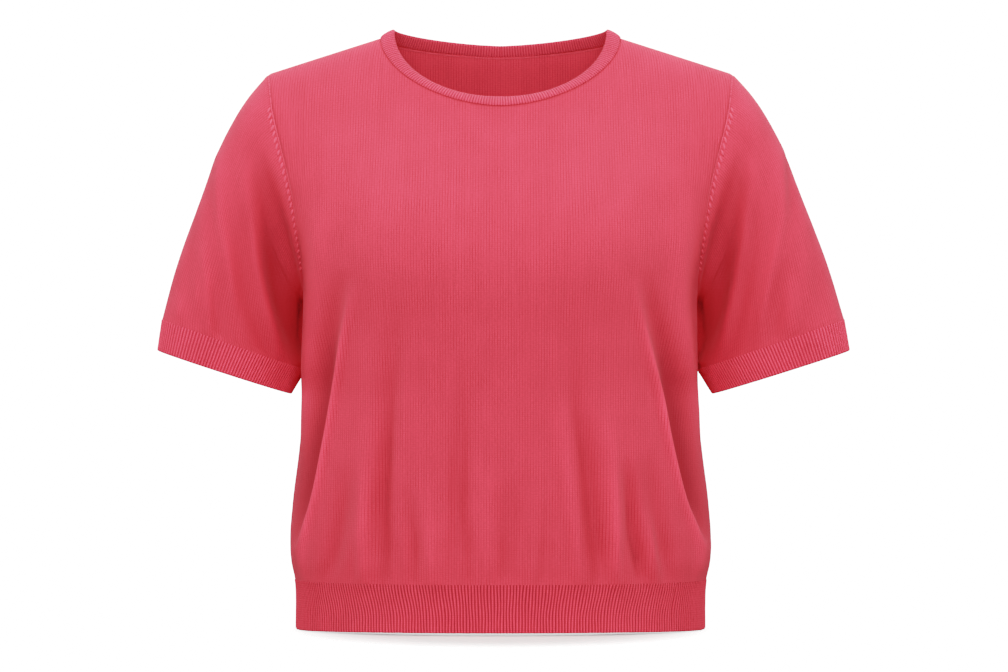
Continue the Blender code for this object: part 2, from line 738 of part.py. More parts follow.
# ================================================================ the jumper
def build():
    points = {side: panel_points(side) for side in (FRONT, BACK)}
    normals = {side: panel_normals(points[side], side) for side in (FRONT, BACK)}
    loop = armhole_loop(points[FRONT], points[BACK])
    body_normals = armhole_loop(normals[FRONT], normals[BACK])
    joints = {FRONT: [], BACK: []}
    for side_name, spread, mirror in (("right", RIGHT_SPREAD, True), ("left", LEFT_SPREAD, False)):
        sleeve = sleeve_points(loop, spread)
        inward, toward_sleeve = mitre(loop, body_normals, sleeve_normals(sleeve)[0])
        make_sleeve("sleeve_" + side_name, sleeve, inward, toward_sleeve, mirror)
        make_cuff("cuff_rib_" + side_name, spread, mirror, len(loop))
        under = UPPER_ROWS
        ends = {FRONT: slice(under, None, -1), BACK: slice(under, None)}
        for side in (FRONT, BACK):
            edge_inward = np.concatenate([inward, inward[:1]])[ends[side]]
            away = -np.concatenate([toward_sleeve, toward_sleeve[:1]])[ends[side]]
            if mirror:
                edge_inward, away = mirrored(edge_inward), mirrored(away)
            joints[side].append((edge_inward, away))
    make_panel("front_panel", points[FRONT], FRONT, joints[FRONT])
    make_panel("back_panel", points[BACK], BACK, joints[BACK])
    make_neckband("neckband", points, normals)
    make_hem("hem_rib_front", FRONT)
    make_hem("hem_rib_back", BACK)


for leftover in list(bpy.data.objects):
    bpy.data.objects.remove(leftover, do_unlink=True)
garment = bpy.data.collections.new("jumper")
bpy.context.scene.collection.children.link(garment)
build()
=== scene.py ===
"""Looks of the short-sleeved jumper: fine plain knit with ribbed neckband, hem and cuffs, filled
out as it is when worn, with nobody in it. Tables are in millimetres; +Z is up and the front faces
-Y.
"""
import math
from collections import namedtuple

import bmesh
import bpy
import numpy as np
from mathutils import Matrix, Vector


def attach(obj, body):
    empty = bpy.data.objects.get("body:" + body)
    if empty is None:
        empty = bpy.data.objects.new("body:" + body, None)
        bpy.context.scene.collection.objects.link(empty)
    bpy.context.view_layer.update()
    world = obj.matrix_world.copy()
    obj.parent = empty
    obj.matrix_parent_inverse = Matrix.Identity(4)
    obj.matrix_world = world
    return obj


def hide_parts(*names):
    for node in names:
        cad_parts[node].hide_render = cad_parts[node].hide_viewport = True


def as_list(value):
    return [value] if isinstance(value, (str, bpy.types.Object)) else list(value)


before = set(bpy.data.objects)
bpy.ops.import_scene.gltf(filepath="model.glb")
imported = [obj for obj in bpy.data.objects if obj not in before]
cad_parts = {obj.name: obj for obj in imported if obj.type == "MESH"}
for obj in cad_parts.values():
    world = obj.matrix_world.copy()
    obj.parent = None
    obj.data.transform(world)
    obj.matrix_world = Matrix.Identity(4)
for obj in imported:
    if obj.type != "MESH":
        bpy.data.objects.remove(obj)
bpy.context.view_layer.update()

MM = 0.001
FRONT = -1
BACK = 1

# ---------------------------------------------------------------- cloth and seams
BODY_WALL = 1.5
RIB_WALL = 2.0
HALF_GAP = 0.03
LONGEST_MITRE = 3.3

# One by one ribs: a ridge and a groove for each pitch, drawn with six columns of points.
RIB_PITCH = 2.7
NECK_RIB_PITCH = 2.5
COLUMNS_PER_RIB = 6
RIB_SQUARENESS = 0.75
RIB_RISE = 0.52
NECK_RIB_RISE = 0.20
RIB_UNEVENNESS = 0.7

# Linked seams pull the cloth in beside them.
SeamDip = namedtuple("SeamDip", "depth half_width")
ARMHOLE_DIP = SeamDip(0.95, 1.5)
SHOULDER_DIP = SeamDip(0.7, 1.6)
SIDE_DIP = SeamDip(0.7, 1.6)
NECK_DIP = SeamDip(0.55, 1.8)
MARKS_DIP = SeamDip(0.8, 2.6)
# Painted shade: a seam's groove is drawn as dark as a fold this many times as deep.
SEAM_SHADE = 9
# Painted shade and light are set as a height on a fold, in mm. The inside of the knit is painted
# as light as a ridge this high; the cuffs are painted lighter too; the neckband is drawn darker.
INSIDE_PAINTED_LIGHT = 7
CUFF_PAINTED_LIGHT = 4
BAND_SHADE = -3.0
# Painted shade: a sleeve's valleys are drawn as dark as folds this many times as deep.
VALLEY_SHADE = 1.2
# Painted shade: lower down the front the knit is drawn darker by this much, between these
# distances below the origin.
LOW_FRONT_SHADE = 2.0
LOW_FRONT_SHADE_FROM_TO = (340, 440)

# ---------------------------------------------------------------- body
# The solids' own sizes, with the rib line a little lower and a hem that sags at the sides.
TorsoRow = namedtuple("TorsoRow", "z half_width front back squareness")
TORSO = [TorsoRow(*row) for row in (
    (0, 620, 44, 47, 2.30),
    (-20, 500, 49, 52, 2.30),
    (-38, 420, 55, 61, 2.30),
    (-69, 318, 66, 75, 2.30),
    (-108, 247, 86, 89, 2.30),
    (-141, 216, 102.5, 96, 2.35),
    (-180, 196, 118, 99, 2.40),
    (-211, 182.4, 127, 98, 2.45),
    (-236, 176.4, 129, 95, 2.45),
    (-265, 176.4, 127, 91, 2.40),
    (-300, 176.4, 124, 87.5, 2.35),
    (-322, 175.4, 122, 86.5, 2.30),
    (-345, 177.6, 120.5, 87, 2.30),
    (-380, 181.6, 118.5, 90, 2.30),
    (-425, 187.2, 116.5, 95, 2.30),
    (-460, 189.2, 115, 97.5, 2.30),
    (-478, 187.8, 112, 96, 2.30),
    (-490, 185.2, 107, 93, 2.30),
    (-534.5, 183.6, 104, 92, 2.30),
)]
UNDERARM_Z = -236
RIB_TOP_Z = -492
HEM_Z = -534.5
HEM_SAG = 2.2
SHOULDER_NECK_X = 108
SHOULDER_NECK_Z = -5.5
SHOULDER_TIP_X = 209
SHOULDER_TIP_Z = -38
NECK_RISE = 0.9
SHOULDER_ROLL = 150

ArmholeRow = namedtuple("ArmholeRow", "z x")
ARMHOLE = [ArmholeRow(*row) for row in (
    (-38, 209), (-76, 203), (-108, 195), (-141, 187), (-180, 181), (-211, 177.6), (-236, 176.4))]

NeckRow = namedtuple("NeckRow", "seam_drop top_drop top_y_share seam_roundness top_roundness")
NECK = {
    FRONT: NeckRow(64.2, 63.1, 0.85, 1.80, 2.05),
    BACK: NeckRow(13.6, 11.7, 0.93, 1.60, 1.45),
}
NECK_TOP_X = 95.5
NECK_TOP_Z = 2.2

# Grid of each panel, as shares of its width from the middle and of its height; both are closer
# together beside the seams, where the cloth dips.
NECK_SHARE = 10 / 18
EDGE_SHARES = [0.972, 0.982, 0.9885, 0.993, 0.996, 0.998, 1.0]
COLUMN_SHARES = np.concatenate([np.linspace(0, NECK_SHARE, 45),
                                np.linspace(NECK_SHARE, 0.962, 73)[1:], EDGE_SHARES])
NECK_COLUMNS = 44
HALF_COLUMNS = len(COLUMN_SHARES) - 1
NECK_LOW, NECK_HIGH = HALF_COLUMNS - NECK_COLUMNS, HALF_COLUMNS + NECK_COLUMNS
UPPER_SHARES = np.concatenate([np.linspace(0, 0.962, 62), EDGE_SHARES])
UPPER_ROWS = len(UPPER_SHARES) - 1
LOWER_ROWS = 78
LOWER_CROWDING = 1.15

# ---------------------------------------------------------------- fullness and folds
Swell = namedtuple("Swell", "x z half_width half_height rise")
CHEST_FULLNESS = [Swell(x, -186, 58, 53, 11.0) for x in (-82, 82)]
# The slight waviness that hanging knit always has.
BODY_WAVINESS = 0.26
SLEEVE_WAVINESS = 0.22
WAVES = 26
SLEEVE_SEED = {"left": 11, "right": 12}

# A fold runs down through its knots, each a row of these values. Rise is out of the cloth, and a
# negative rise is a trough.
Knot = namedtuple("Knot", "z x half_width rise")
PLEATS = [
    # -X side: pleat behind the bust, its sharp edge, and the full side beyond it
    [(-214, -136, 9, 0), (-249, -145, 9, -4.5), (-277, -152, 9, -7.5), (-304, -156.5, 9, -10.0),
     (-331, -161, 9, -11.0), (-376, -168.5, 8.5, -11.0), (-421, -177, 7.5, -8.5),
     (-448, -182, 6, -3), (-464, -184, 6, 0)],
    [(-222, -126, 8, 0), (-250, -132.5, 5.5, 3.0), (-277, -138.6, 4.4, 4.4), (-304, -143, 4.0, 5.2),
     (-331, -147.6, 3.9, 5.4), (-354, -152, 3.9, 5.4), (-376, -156.6, 3.9, 5.2),
     (-400, -161, 4.0, 5.0), (-421, -165.5, 4.2, 4.6), (-445, -173, 4.6, 4.0),
     (-464, -178.5, 5, 2.8), (-480, -177, 5, 1.6), (-496, -173, 5, 0)],
    [(-150, -160, 12, 0), (-200, -161, 12, 4.0), (-249, -165, 10, 6.0), (-293, -170, 8, 6.0),
     (-337, -173.5, 7, 4.4), (-380, -178, 6, 0)],
    # +X side: the same pleat, a little lower
    [(-372, 130, 9, 0), (-404, 133.5, 9, -4.2), (-440, 139, 9, -5.4), (-469, 145, 8.5, -5.0),
     (-485, 148, 8, -2.4), (-498, 150, 8, 0)],
    [(-222, 116, 8, 0), (-250, 121.5, 5.5, 3.0), (-277, 128.24, 4.4, 4.4), (-304, 135.4, 4.0, 5.2),
     (-331, 142.1, 3.9, 5.4), (-354, 146.4, 3.9, 5.4), (-376, 151.4, 3.9, 5.2),
     (-400, 157.9, 4.0, 5.0), (-421, 164.4, 4.2, 4.6), (-445, 173.4, 4.6, 4.0),
     (-462, 179.4, 5, 2.8), (-478, 178.4, 5, 1.6), (-494, 174.4, 5, 0)],
    [(-214, 124, 9, 0), (-249, 133, 9, -4.5), (-277, 141.94, 9, -7.5), (-304, 149.4, 9, -10.0),
     (-331, 155.8, 9, -11.0), (-376, 164.4, 8.5, -11.0), (-421, 173.8, 7.5, -8.5),
     (-446, 180.9, 6, -3), (-460, 183.9, 6, 0)],
    [(-150, 160, 12, 0), (-190, 159, 12, 4.0), (-217, 157, 11, 5.4), (-249, 158, 10, 6.0),
     (-279, 162, 8, 6.0), (-325, 169.5, 7, 4.4), (-366, 176, 6, 0)],
]
# Painted shade and light along the same pleats: troughs drawn darker, ridges and the full side
# beyond them drawn lighter.
PLEAT_PAINTED_SHADE = [
    [(-214, -140, 9, 0), (-249, -149, 9, -3), (-277, -155.5, 9, -5), (-304, -160, 9, -8),
     (-331, -164.5, 9, -10), (-376, -172, 8, -12), (-421, -180, 7, -10), (-448, -184, 6, -4),
     (-464, -186, 6, 0)],
    [(-250, -132.5, 4, 0), (-277, -138.6, 3, 6), (-304, -143, 2.8, 9), (-354, -152, 2.7, 11),
     (-400, -161, 2.8, 11), (-421, -165.5, 3, 10), (-445, -172, 4.5, 12), (-464, -174, 4.5, 8),
     (-496, -173, 5, 0)],
    [(-262, -166, 7, 0), (-285, -168.5, 6, 10), (-310, -171.5, 6, 13), (-335, -174.5, 6, 11),
     (-360, -178, 5, 7), (-385, -181, 5, 0)],
    [(-214, 128, 9, 0), (-249, 138, 9, -3), (-277, 146, 9, -5), (-304, 153, 9, -9),
     (-331, 159.5, 9, -11), (-376, 168, 8.5, -14), (-421, 177.5, 7.5, -12), (-446, 184, 6, -5),
     (-460, 186, 6, 0)],
    [(-250, 122, 4, 0), (-277, 128.2, 3, 6), (-304, 135.4, 2.8, 9), (-354, 146.4, 2.7, 11),
     (-400, 157.9, 2.8, 11), (-421, 164.4, 3, 10), (-445, 173.4, 4.5, 12), (-462, 177, 4.5, 8),
     (-494, 174, 5, 0)],
    [(-250, 164, 7, 0), (-275, 167, 6, 8), (-305, 171.5, 6, 10), (-335, 175, 6, 9),
     (-362, 178.5, 5, 5), (-385, 181, 5, 0)],
]
# Small gathers just over the hem rib, each a trough that drifts a little aside on its way down.
Gather = namedtuple("Gather", "top_z x drift depth")
GATHERS = [Gather(*row) for row in (
    (-452, -129, 1.5, 1.1), (-438, -117, -1, 1.5), (-430, -100.5, 0.5, 1.3),
    (-446, -90, -1.8, 1.6), (-451, -57, 1.5, 1.2), (-440, -43, -1, 1.5), (-433, -30, 0.5, 1.2),
    (-448, -17.5, -1.8, 1.5), (-442, 5, 1, 1.3), (-436, 23, 1.5, 1.5), (-450, 38, -1, 1.1),
    (-428, 56, 0.5, 1.4), (-444, 73, -1.8, 1.5), (-437, 88, 1, 1.2), (-431, 107, 1.5, 1.5),
    (-449, 124, -1, 1.3),
)]


def gather_fold(gather):
    """The fold that one small gather makes."""
    low_x = gather.x + 0.6 * gather.drift
    return [(gather.top_z, gather.x, 4, 0),
            (gather.top_z - 16, gather.x + gather.drift, 4.2, -gather.depth),
            (-474, low_x, 4, -gather.depth - 0.3), (-487, gather.x, 3.6, -0.4)]


FOLDS = {
    FRONT: PLEATS + [gather_fold(gather) for gather in GATHERS] + [
        [(-385, -134, 9, 0), (-421, -139, 9, -4.2), (-455, -145, 8.5, -5.2), (-478, -150, 8, -4.0),
         (-487, -152, 8, -2.0), (-500, -153, 8, 0)],
        # -X half of the front
        [(-350, -118, 9, 0), (-400, -120, 8, 3.2), (-424, -120.5, 7.5, 5), (-483, -121, 7, 3),
         (-500, -121, 7, 0)],
        [(-240, -88, 9.9, 0), (-290, -93, 9, -2.5), (-337, -99, 8.1, -5.5),
         (-380, -102.5, 7.2, -8.1), (-410, -105, 7.2, -8.9), (-445, -106.8, 7.2, -7.6),
         (-485, -106.8, 7.2, -3.1), (-502, -107, 7.2, 0)],
        [(-405, -80, 7, 0), (-435, -78.8, 6.5, -3.0), (-468, -77, 6, -4.4), (-486, -78, 6, -2.4),
         (-500, -78, 6, 0)],
        [(-400, -66, 9, 0), (-440, -63, 8, 3), (-478, -59.5, 7, 4.5), (-500, -59, 7, 0)],
        [(-290, -34, 10.2, 0), (-340, -34.5, 8.5, -2.7), (-395, -36.8, 7.65, -5.4),
         (-439, -37.7, 7.65, -5.4), (-483, -35, 7.65, -2.9), (-502, -35, 7.65, 0)],
        # middle and +X half
        [(-370, -14, 13, 0), (-420, -14, 12, 2.5), (-470, -14, 11, 2), (-498, -14, 11, 0)],
        [(-395, 9, 9, 0), (-440, 8, 9, -4), (-484, 6.5, 9, -2.8), (-500, 6, 9, 0)],
        [(-415, 42, 7, 0), (-455, 41.5, 7, -3.5), (-486, 41, 7, -2.1), (-498, 41, 7, 0)],
        [(-320, 52, 10, 0), (-375, 55.2, 9, 3.5), (-415, 61.3, 8, 5), (-483, 70, 7, 3),
         (-500, 72, 7, 0)],
        [(-262, 61, 9.9, 0), (-331, 67.4, 8.1, -4), (-380, 76.2, 7.2, -7.2),
         (-424, 81.4, 7.2, -7.9), (-468, 85.8, 7.2, -6.5), (-487, 87.6, 7.2, -2.3),
         (-502, 88, 7.2, 0)],
        [(-335, 92, 8, 0), (-365, 96, 7, 3.5), (-404, 99, 6.5, 6), (-486, 103, 6, 3.2),
         (-500, 103, 6, 0)],
        [(-380, 111, 7, 0), (-408, 113.8, 7, -5), (-439, 116.5, 6.5, -7.5),
         (-474, 122.6, 6.5, -6.5), (-498, 125, 6, 0)],
        [(-425, 131, 6, 0), (-455, 134, 5, 3.5), (-482, 137, 5, 2.1), (-498, 138, 5, 0)],
    ],
    BACK: [
        [(-220, -136, 10, 0), (-270, -142, 9, -6.1), (-325, -151, 8.5, -9.5), (-375, -160, 8, -9.2),
         (-425, -170, 7, -4.8), (-456, -176, 7, 0)],
        [(-226, -123, 8, 0), (-270, -130, 5.5, 3.7), (-325, -139, 4.8, 4.4), (-375, -149, 4.8, 4.4),
         (-430, -161, 5, 4.1), (-476, -167, 5, 2.7), (-496, -166, 5, 0)],
        [(-330, -94, 10, 0), (-385, -98, 9, -4.4), (-440, -101, 8.5, -5.8), (-484, -103, 8, -2.6),
         (-502, -104, 8, 0)],
        [(-395, -120, 8, 0), (-440, -122, 7, 3.1), (-482, -124, 7, 2.2), (-498, -124, 7, 0)],
        [(-360, -48, 11, 0), (-410, -51, 9, -3.4), (-455, -53, 9, -4.4), (-486, -54, 9, -2.2),
         (-500, -54, 9, 0)],
        [(-410, -74, 8, 0), (-450, -76, 7, 2.7), (-484, -77, 7, 1.7), (-498, -77, 7, 0)],
        [(-335, 6, 12, 0), (-390, 4, 10, -3.1), (-440, 1, 9, -4.4), (-484, -2, 9, -2.4),
         (-502, -2, 9, 0)],
        [(-390, 30, 9, 0), (-440, 31, 8, 2.4), (-484, 32, 8, 1.4), (-498, 32, 8, 0)],
        [(-300, 60, 12, 0), (-360, 64, 9, -4.1), (-415, 70, 8, -5.8), (-465, 76, 8, -4.8),
         (-487, 78, 8, -2.2), (-502, 79, 8, 0)],
        [(-385, 92, 8, 0), (-430, 96, 7, 3.4), (-484, 99, 7, 2.2), (-500, 99, 7, 0)],
        [(-400, 118, 8, 0), (-440, 121, 7, -3.7), (-480, 124, 7, -3.7), (-498, 125, 7, 0)],
        [(-222, 126, 8, 0), (-265, 132, 5.5, 3.7), (-320, 141, 4.8, 4.4), (-370, 151, 4.8, 4.4),
         (-425, 163, 5, 4.1), (-474, 170, 5, 2.4), (-494, 168, 5, 0)],
        [(-216, 139, 10, 0), (-265, 144, 9, -6.1), (-320, 153, 8.5, -9.9), (-370, 162, 8, -8.8),
         (-420, 172, 7, -4.1), (-450, 178, 7, 0)],
        # below the shoulder blades
        [(-120, -60, 30, 0), (-165, -62, 34, 2.7), (-215, -60, 34, 0)],
        [(-120, 60, 30, 0), (-165, 62, 34, 2.7), (-215, 60, 34, 0)],
    ],
}

# Crease of the linked side in the front welt, a little inside the +X edge.
WELT_CREASE = [(-484, 166, 1.6, 0), (-491, 161, 1.6, -0.7), (-498, 155.5, 1.6, -0.8),
               (-507, 152.8, 1.6, -0.8), (-528, 151.2, 1.6, -0.6), (-534, 151, 1.6, 0)]

# ---------------------------------------------------------------- sleeves
SleeveRing = namedtuple(
    "SleeveRing", "along outer_x outer_y outer_z inner_x inner_y inner_z half_depth squareness")
SLEEVE = [SleeveRing(*row) for row in (
    (0.09, 225.5, -2, -57.5, 176.6, 13, -241, 57, 2.1),
    (0.25, 247.5, -5, -93.5, 175.8, 26, -250, 60, 2.1),
    (0.50, 271.0, -9, -153, 174.8, 31, -268, 59, 2.1),
    (0.75, 291.0, -12, -207, 174.6, 31, -286, 56, 2.1),
    (1.00, 305.6, -14, -258.5, 177.4, 29, -303.5, 51, 2.1),
)]
CUFF_EDGE = SleeveRing(1.15, 310.2, -13, -286.6, 190.8, 20, -325.8, 47, 2.1)
ALONG_SHARES = np.concatenate([[0, 0.0018, 0.0037, 0.006, 0.009, 0.013, 0.019, 0.027],
                               np.linspace(0.037, 1, 70)])
SPREAD = {"left": 2.4, "right": -2.4}

# Folds of each sleeve as they show from the front and from the back, for the sleeve at +X.
SLEEVE_FOLDS = {
    ("right", FRONT): [
        [(-118, 228, 8, 0), (-155, 225, 8, 2.4), (-204, 218, 7.5, 3.2), (-249, 208, 7, 3.2),
         (-284, 200, 7, 1.8), (-298, 198, 6, 0)],
        [(-130, 236, 9, 0), (-164, 231, 9, -2.7), (-249, 221, 9, -3.9), (-284, 209, 8, -3),
         (-304, 204, 8, 0)],
        [(-105, 251, 7, 0), (-131, 250, 6, 2.4), (-175, 248, 5, 3.3), (-211, 241, 5, 3),
         (-240, 237.5, 5, 1.8), (-256, 236, 5, 0)],
        [(-190, 264, 6, 0), (-204, 263, 4.5, 2.1), (-249, 259, 4, 2.7), (-275, 257, 4, 1.5),
         (-290, 256, 4, 0)],
        [(-215, 253, 5, 0), (-250, 253.5, 4.5, -2.7), (-282, 251, 4.5, -1.8), (-292, 250, 4.5, 0)],
        [(-212, 271, 4, 0), (-240, 268.8, 4, 1.8), (-262, 267, 4, 0)],
        [(-160, 272, 8, 0), (-204, 277, 8, -2.1), (-245, 280, 7, 0)],
        [(-234, 285, 5, 0), (-252, 285.5, 5, 2.1), (-270, 286, 5, 0)],
        [(-90, 218, 11, 0), (-118, 214, 11, -3.0), (-141, 210, 11, -6.0), (-165, 206, 12, -9.0),
         (-196, 200, 12.5, -11.5), (-232, 193.5, 13, -12.5), (-259, 185, 13, -12.5),
         (-280, 180, 12, -9.0), (-298, 178, 10, 0)],
    ],
    ("left", FRONT): [
        [(-105, 225, 8, 0), (-137, 223, 7.5, 2.4), (-175, 219, 7, 3.0), (-220, 210, 7, 3.2),
         (-249, 204.5, 7, 3.0), (-288, 199, 7, 1.5), (-300, 197, 6, 0)],
        [(-130, 227, 9, 0), (-164, 224.4, 8, -2.7), (-199, 221.8, 8, -3.6), (-249, 213, 8, -3.9),
         (-282, 204, 8, -2.7), (-300, 200, 8, 0)],
        [(-100, 247, 7, 0), (-128, 248.4, 6, 2.4), (-175, 248.4, 5, 3.3), (-211, 242, 5, 3),
         (-257, 233, 5, 2.1), (-276, 229, 5, 0)],
        [(-108, 257, 4, 0), (-128, 258.5, 4, -2), (-160, 261, 5, -1.5), (-185, 262, 5, 0)],
        [(-205, 252, 6, 0), (-235, 247, 6, -2.1), (-270, 243, 6, -1.8), (-288, 241, 6, 0)],
        [(-222, 260, 7, 0), (-255, 259, 6.5, 2.1), (-284, 257, 6, 0)],
        [(-175, 277, 8, 0), (-222, 283, 8, -2.1), (-262, 287, 7, 0)],
        [(-90, 218, 11, 0), (-118, 214, 11, -2.6), (-141, 210, 11, -5.4), (-165, 205.5, 12, -8.0),
         (-196, 199.5, 12.5, -10.0), (-232, 193, 13, -10.5), (-259, 184.5, 13, -10.5),
         (-280, 179.5, 11, -8.0), (-298, 178, 9, 0)],
    ],
    ("right", BACK): [
        [(-110, 226, 8, 0), (-160, 217, 7, 3), (-215, 205, 6.5, 3), (-270, 194, 6, 1.8),
         (-294, 190, 6, 0)],
        [(-120, 240, 9, 0), (-170, 232, 9, -3), (-240, 221, 8, -3.6), (-296, 209, 8, 0)],
        [(-150, 258, 8, 0), (-200, 257, 6, 2.7), (-252, 252, 5, 1.8), (-272, 250, 5, 0)],
        [(-190, 272, 7, 0), (-230, 273, 6, -2.1), (-268, 272, 6, 0)],
    ],
    ("left", BACK): [
        [(-104, 222, 8, 0), (-150, 215, 7, 3), (-205, 203, 6.5, 3.3), (-262, 193, 6, 2.1),
         (-292, 189, 6, 0)],
        [(-116, 236, 9, 0), (-165, 229, 9, -3), (-230, 218, 8, -3.6), (-292, 206, 8, 0)],
        [(-140, 254, 8, 0), (-190, 252, 6, 2.7), (-245, 246, 5, 2.1), (-268, 243, 5, 0)],
        [(-200, 276, 7, 0), (-240, 276, 6, -2.1), (-276, 275, 6, 0)],
    ],
}

# ---------------------------------------------------------------- sections
# Round the neckband's section: share of its width from the seam, distance out of its middle
# surface, and how strongly the ribs show.
BandPoint = namedtuple("BandPoint", "share out ribs")
BAND_SECTION = [BandPoint(*row) for row in (
    (0.00, -0.20, 0.0), (0.02, 0.45, 0.2), (0.08, 0.95, 0.6), (0.20, 1.30, 1.0), (0.36, 1.48, 1.0),
    (0.52, 1.46, 1.0), (0.68, 1.30, 1.0), (0.82, 1.02, 1.0), (0.92, 0.62, 0.9), (0.98, 0.10, 0.7),
    (1.00, -0.42, 0.6), (0.985, -0.95, 0.7), (0.93, -1.38, 0.9), (0.82, -1.68, 1.0),
    (0.64, -1.88, 1.0), (0.44, -1.96, 1.0), (0.24, -1.94, 1.0), (0.09, -1.78, 0.7),
    (0.02, -1.50, 0.2), (0.00, -0.90, 0.0),
)]

# Below this distance out, the band's section faces in.
BAND_TURNS_IN = -0.4

# Round a welt's section: share of its depth from the top, share of its wall in from the outer
# face, and how strongly the ribs show.
WeltPoint = namedtuple("WeltPoint", "share inward ribs")
OUTER_SHARES = [0, 0.015, 0.035, 0.06, 0.10, 0.16, 0.23, 0.31, 0.39, 0.48, 0.57, 0.66, 0.75, 0.84,
                0.91, 0.955]
WELT_SECTION = (
    [WeltPoint(share, 0.0, min(1.0, 0.35 + share / 0.03)) for share in OUTER_SHARES]
    + [WeltPoint(0.982, 0.07, 0.9), WeltPoint(0.996, 0.25, 0.7), WeltPoint(1.0, 0.5, 0.5),
       WeltPoint(0.996, 0.75, 0.7), WeltPoint(0.982, 0.93, 0.9)]
    + [WeltPoint(share, 1.0, 1.0) for share in (0.955, 0.85, 0.7, 0.5, 0.3, 0.12)]
    + [WeltPoint(0.0, 1.0, 0.0)]
)

# Where the ribs lean: shift toward the middle as they come down, in each half of the welt.
WELT_LEAN = 5.0
WELT_WANDER = 0.28
LEAN_TURN = 0.86 * math.pi

# ---------------------------------------------------------------- seam work
# Fashioning marks are transferred stitches beside the sleeve seam. Overlock covers the armhole
# seam inside, and a chain links the neckband. Lean is in degrees off the path.
Stitch = namedtuple("Stitch", "pitch width length height lean")
MARK = Stitch(6.0, 2.5, 6.6, 2.0, 32)
MARKS_FROM_SEAM = 3.3
MARKS_TOP_Z = -70
MARKS_FOOT_Z = -214
OVERLOCK = Stitch(1.364, 3.0, 2.2, 1.7, 62)
LINKING = Stitch(2.3, 1.5, 2.645, 0.9, 8)
LINKING_BELOW = 1.2
# Where the overlock lies, as a share of the wall in from the outer face.
OVERLOCK_INSIDE = 1.1
MARKS_SEED, OVERLOCK_SEED, LINKING_SEED = 5, 7, 9

# ---------------------------------------------------------------- knit, in millimetres
# Real fine-gauge stitches are about 1.6 mm apart; the photograph shows its lines 2.4 mm apart, and
# they are drawn as coarse as that so that they show.
WALE_PITCH = 2.4
COURSE_PITCH = 1.9
GRAIN_SCALE = 0.8
GRAIN_SHARE = 2.0
LEG_SHARE = 0.55
# Where wales hardly show, the knit has this share of the way from groove to crest all over.
EVEN_KNIT = 0.52

# ---------------------------------------------------------------- colours
# Each light colour is the yarn's own; each groove colour is painted shade, the knit drawn darker in
# its grooves.
KNIT_LIGHT = "#D95A68"
KNIT_GROOVE_SHADE = "#AB2F3D"
RIB_LIGHT = "#D45260"
RIB_GROOVE_SHADE = "#741828"
TRIM_GROOVE_SHADE = "#A63042"
FUZZ = "#F0A4AE"
THREAD = "#D9606F"
FLOOR_WHITE = "#F1F7F5"
# The paper is lit to white: it shows most round the hem, and fades into the white studio.
FLOOR_COVER = 0.95
FLOOR_FADE = (0.13, 0.25)
FLOOR_OVAL = (1.15, 0.85, 0)
# The oval of the hem's foot, as a scale and a shift, and how much of the paper shows inside it;
# with less paper the shadow under the hem shows lighter, as painted light.
HEM_OVAL = ((5.45, 10.2, 0), (0, 0.06, 0))
UNDER_HEM = 0.6


# ================================================================ curves
# Lines are first drawn with some hundreds of points, and then resampled to the points they need.
def smooth_between(places, values, at):
    """Cubic through values at rising places, with each slope taken from its neighbours."""
    places = np.asarray(places, float)
    values = np.asarray(values, float)
    at = np.asarray(at, float)
    slopes = np.gradient(values, places, axis=0)
    start = np.clip(np.searchsorted(places, at, side="right") - 1, 0, len(places) - 2)
    step = places[start + 1] - places[start]
    t = np.clip((at - places[start]) / step, 0, 1)
    wider = (...,) + (None,) * (values.ndim - 1)
    t, step = t[wider], step[wider]
    keep_start = 2 * t ** 3 - 3 * t ** 2 + 1
    lean_start = (t ** 3 - 2 * t ** 2 + t) * step
    lean_end = (t ** 3 - t ** 2) * step
    return (keep_start * values[start] + (1 - keep_start) * values[start + 1]
            + lean_start * slopes[start] + lean_end * slopes[start + 1])


def column_at(rows, column, z):
    """Value of a table's column at z; the rows run downwards."""
    rising = rows[::-1]
    return smooth_between([row.z for row in rising], [getattr(row, column) for row in rising], z)


def level(column, z):
    """Value of the torso's column at z."""
    return column_at(TORSO, column, z)


def closed_up(line):
    """A loop with its first point, or row of points, again at its end."""
    return np.concatenate([line, line[:1]])


def around(loop):
    """Steps from the point before to the point after, all round a loop."""
    return np.roll(loop, -1, axis=0) - np.roll(loop, 1, axis=0)


def line_lengths(points):
    """Length from a line's start to each of its points."""
    steps = np.linalg.norm(np.diff(points, axis=0), axis=-1)
    return np.concatenate([np.zeros((1,) + steps.shape[1:]), np.cumsum(steps, axis=0)])


def at_lengths(line, lengths, at):
    """Points of a line at some of its lengths."""
    return np.stack([np.interp(at, lengths, line[:, axis]) for axis in range(3)], axis=-1)


def resample(points, shares):
    """Points of a line at the given shares of its length."""
    lengths = line_lengths(points)
    return at_lengths(points, lengths, np.asarray(shares) * lengths[-1])


def unit(vectors):
    return vectors / np.linalg.norm(vectors, axis=-1, keepdims=True)


def mirrored(points, wanted=True):
    return points * np.array([-1.0, 1.0, 1.0]) if wanted else points


def ease(value, low, high):
    """0 below low, 1 above high, and a smooth step between."""
    t = np.clip((value - low) / (high - low), 0, 1)
    return t * t * (3 - 2 * t)


# ================================================================ the body's surface
def ridge_height(x):
    outside = np.abs(x) - SHOULDER_NECK_X
    fall = (SHOULDER_NECK_Z - SHOULDER_TIP_Z) / (SHOULDER_TIP_X - SHOULDER_NECK_X)
    return SHOULDER_NECK_Z - outside * np.where(outside > 0, fall, NECK_RISE)


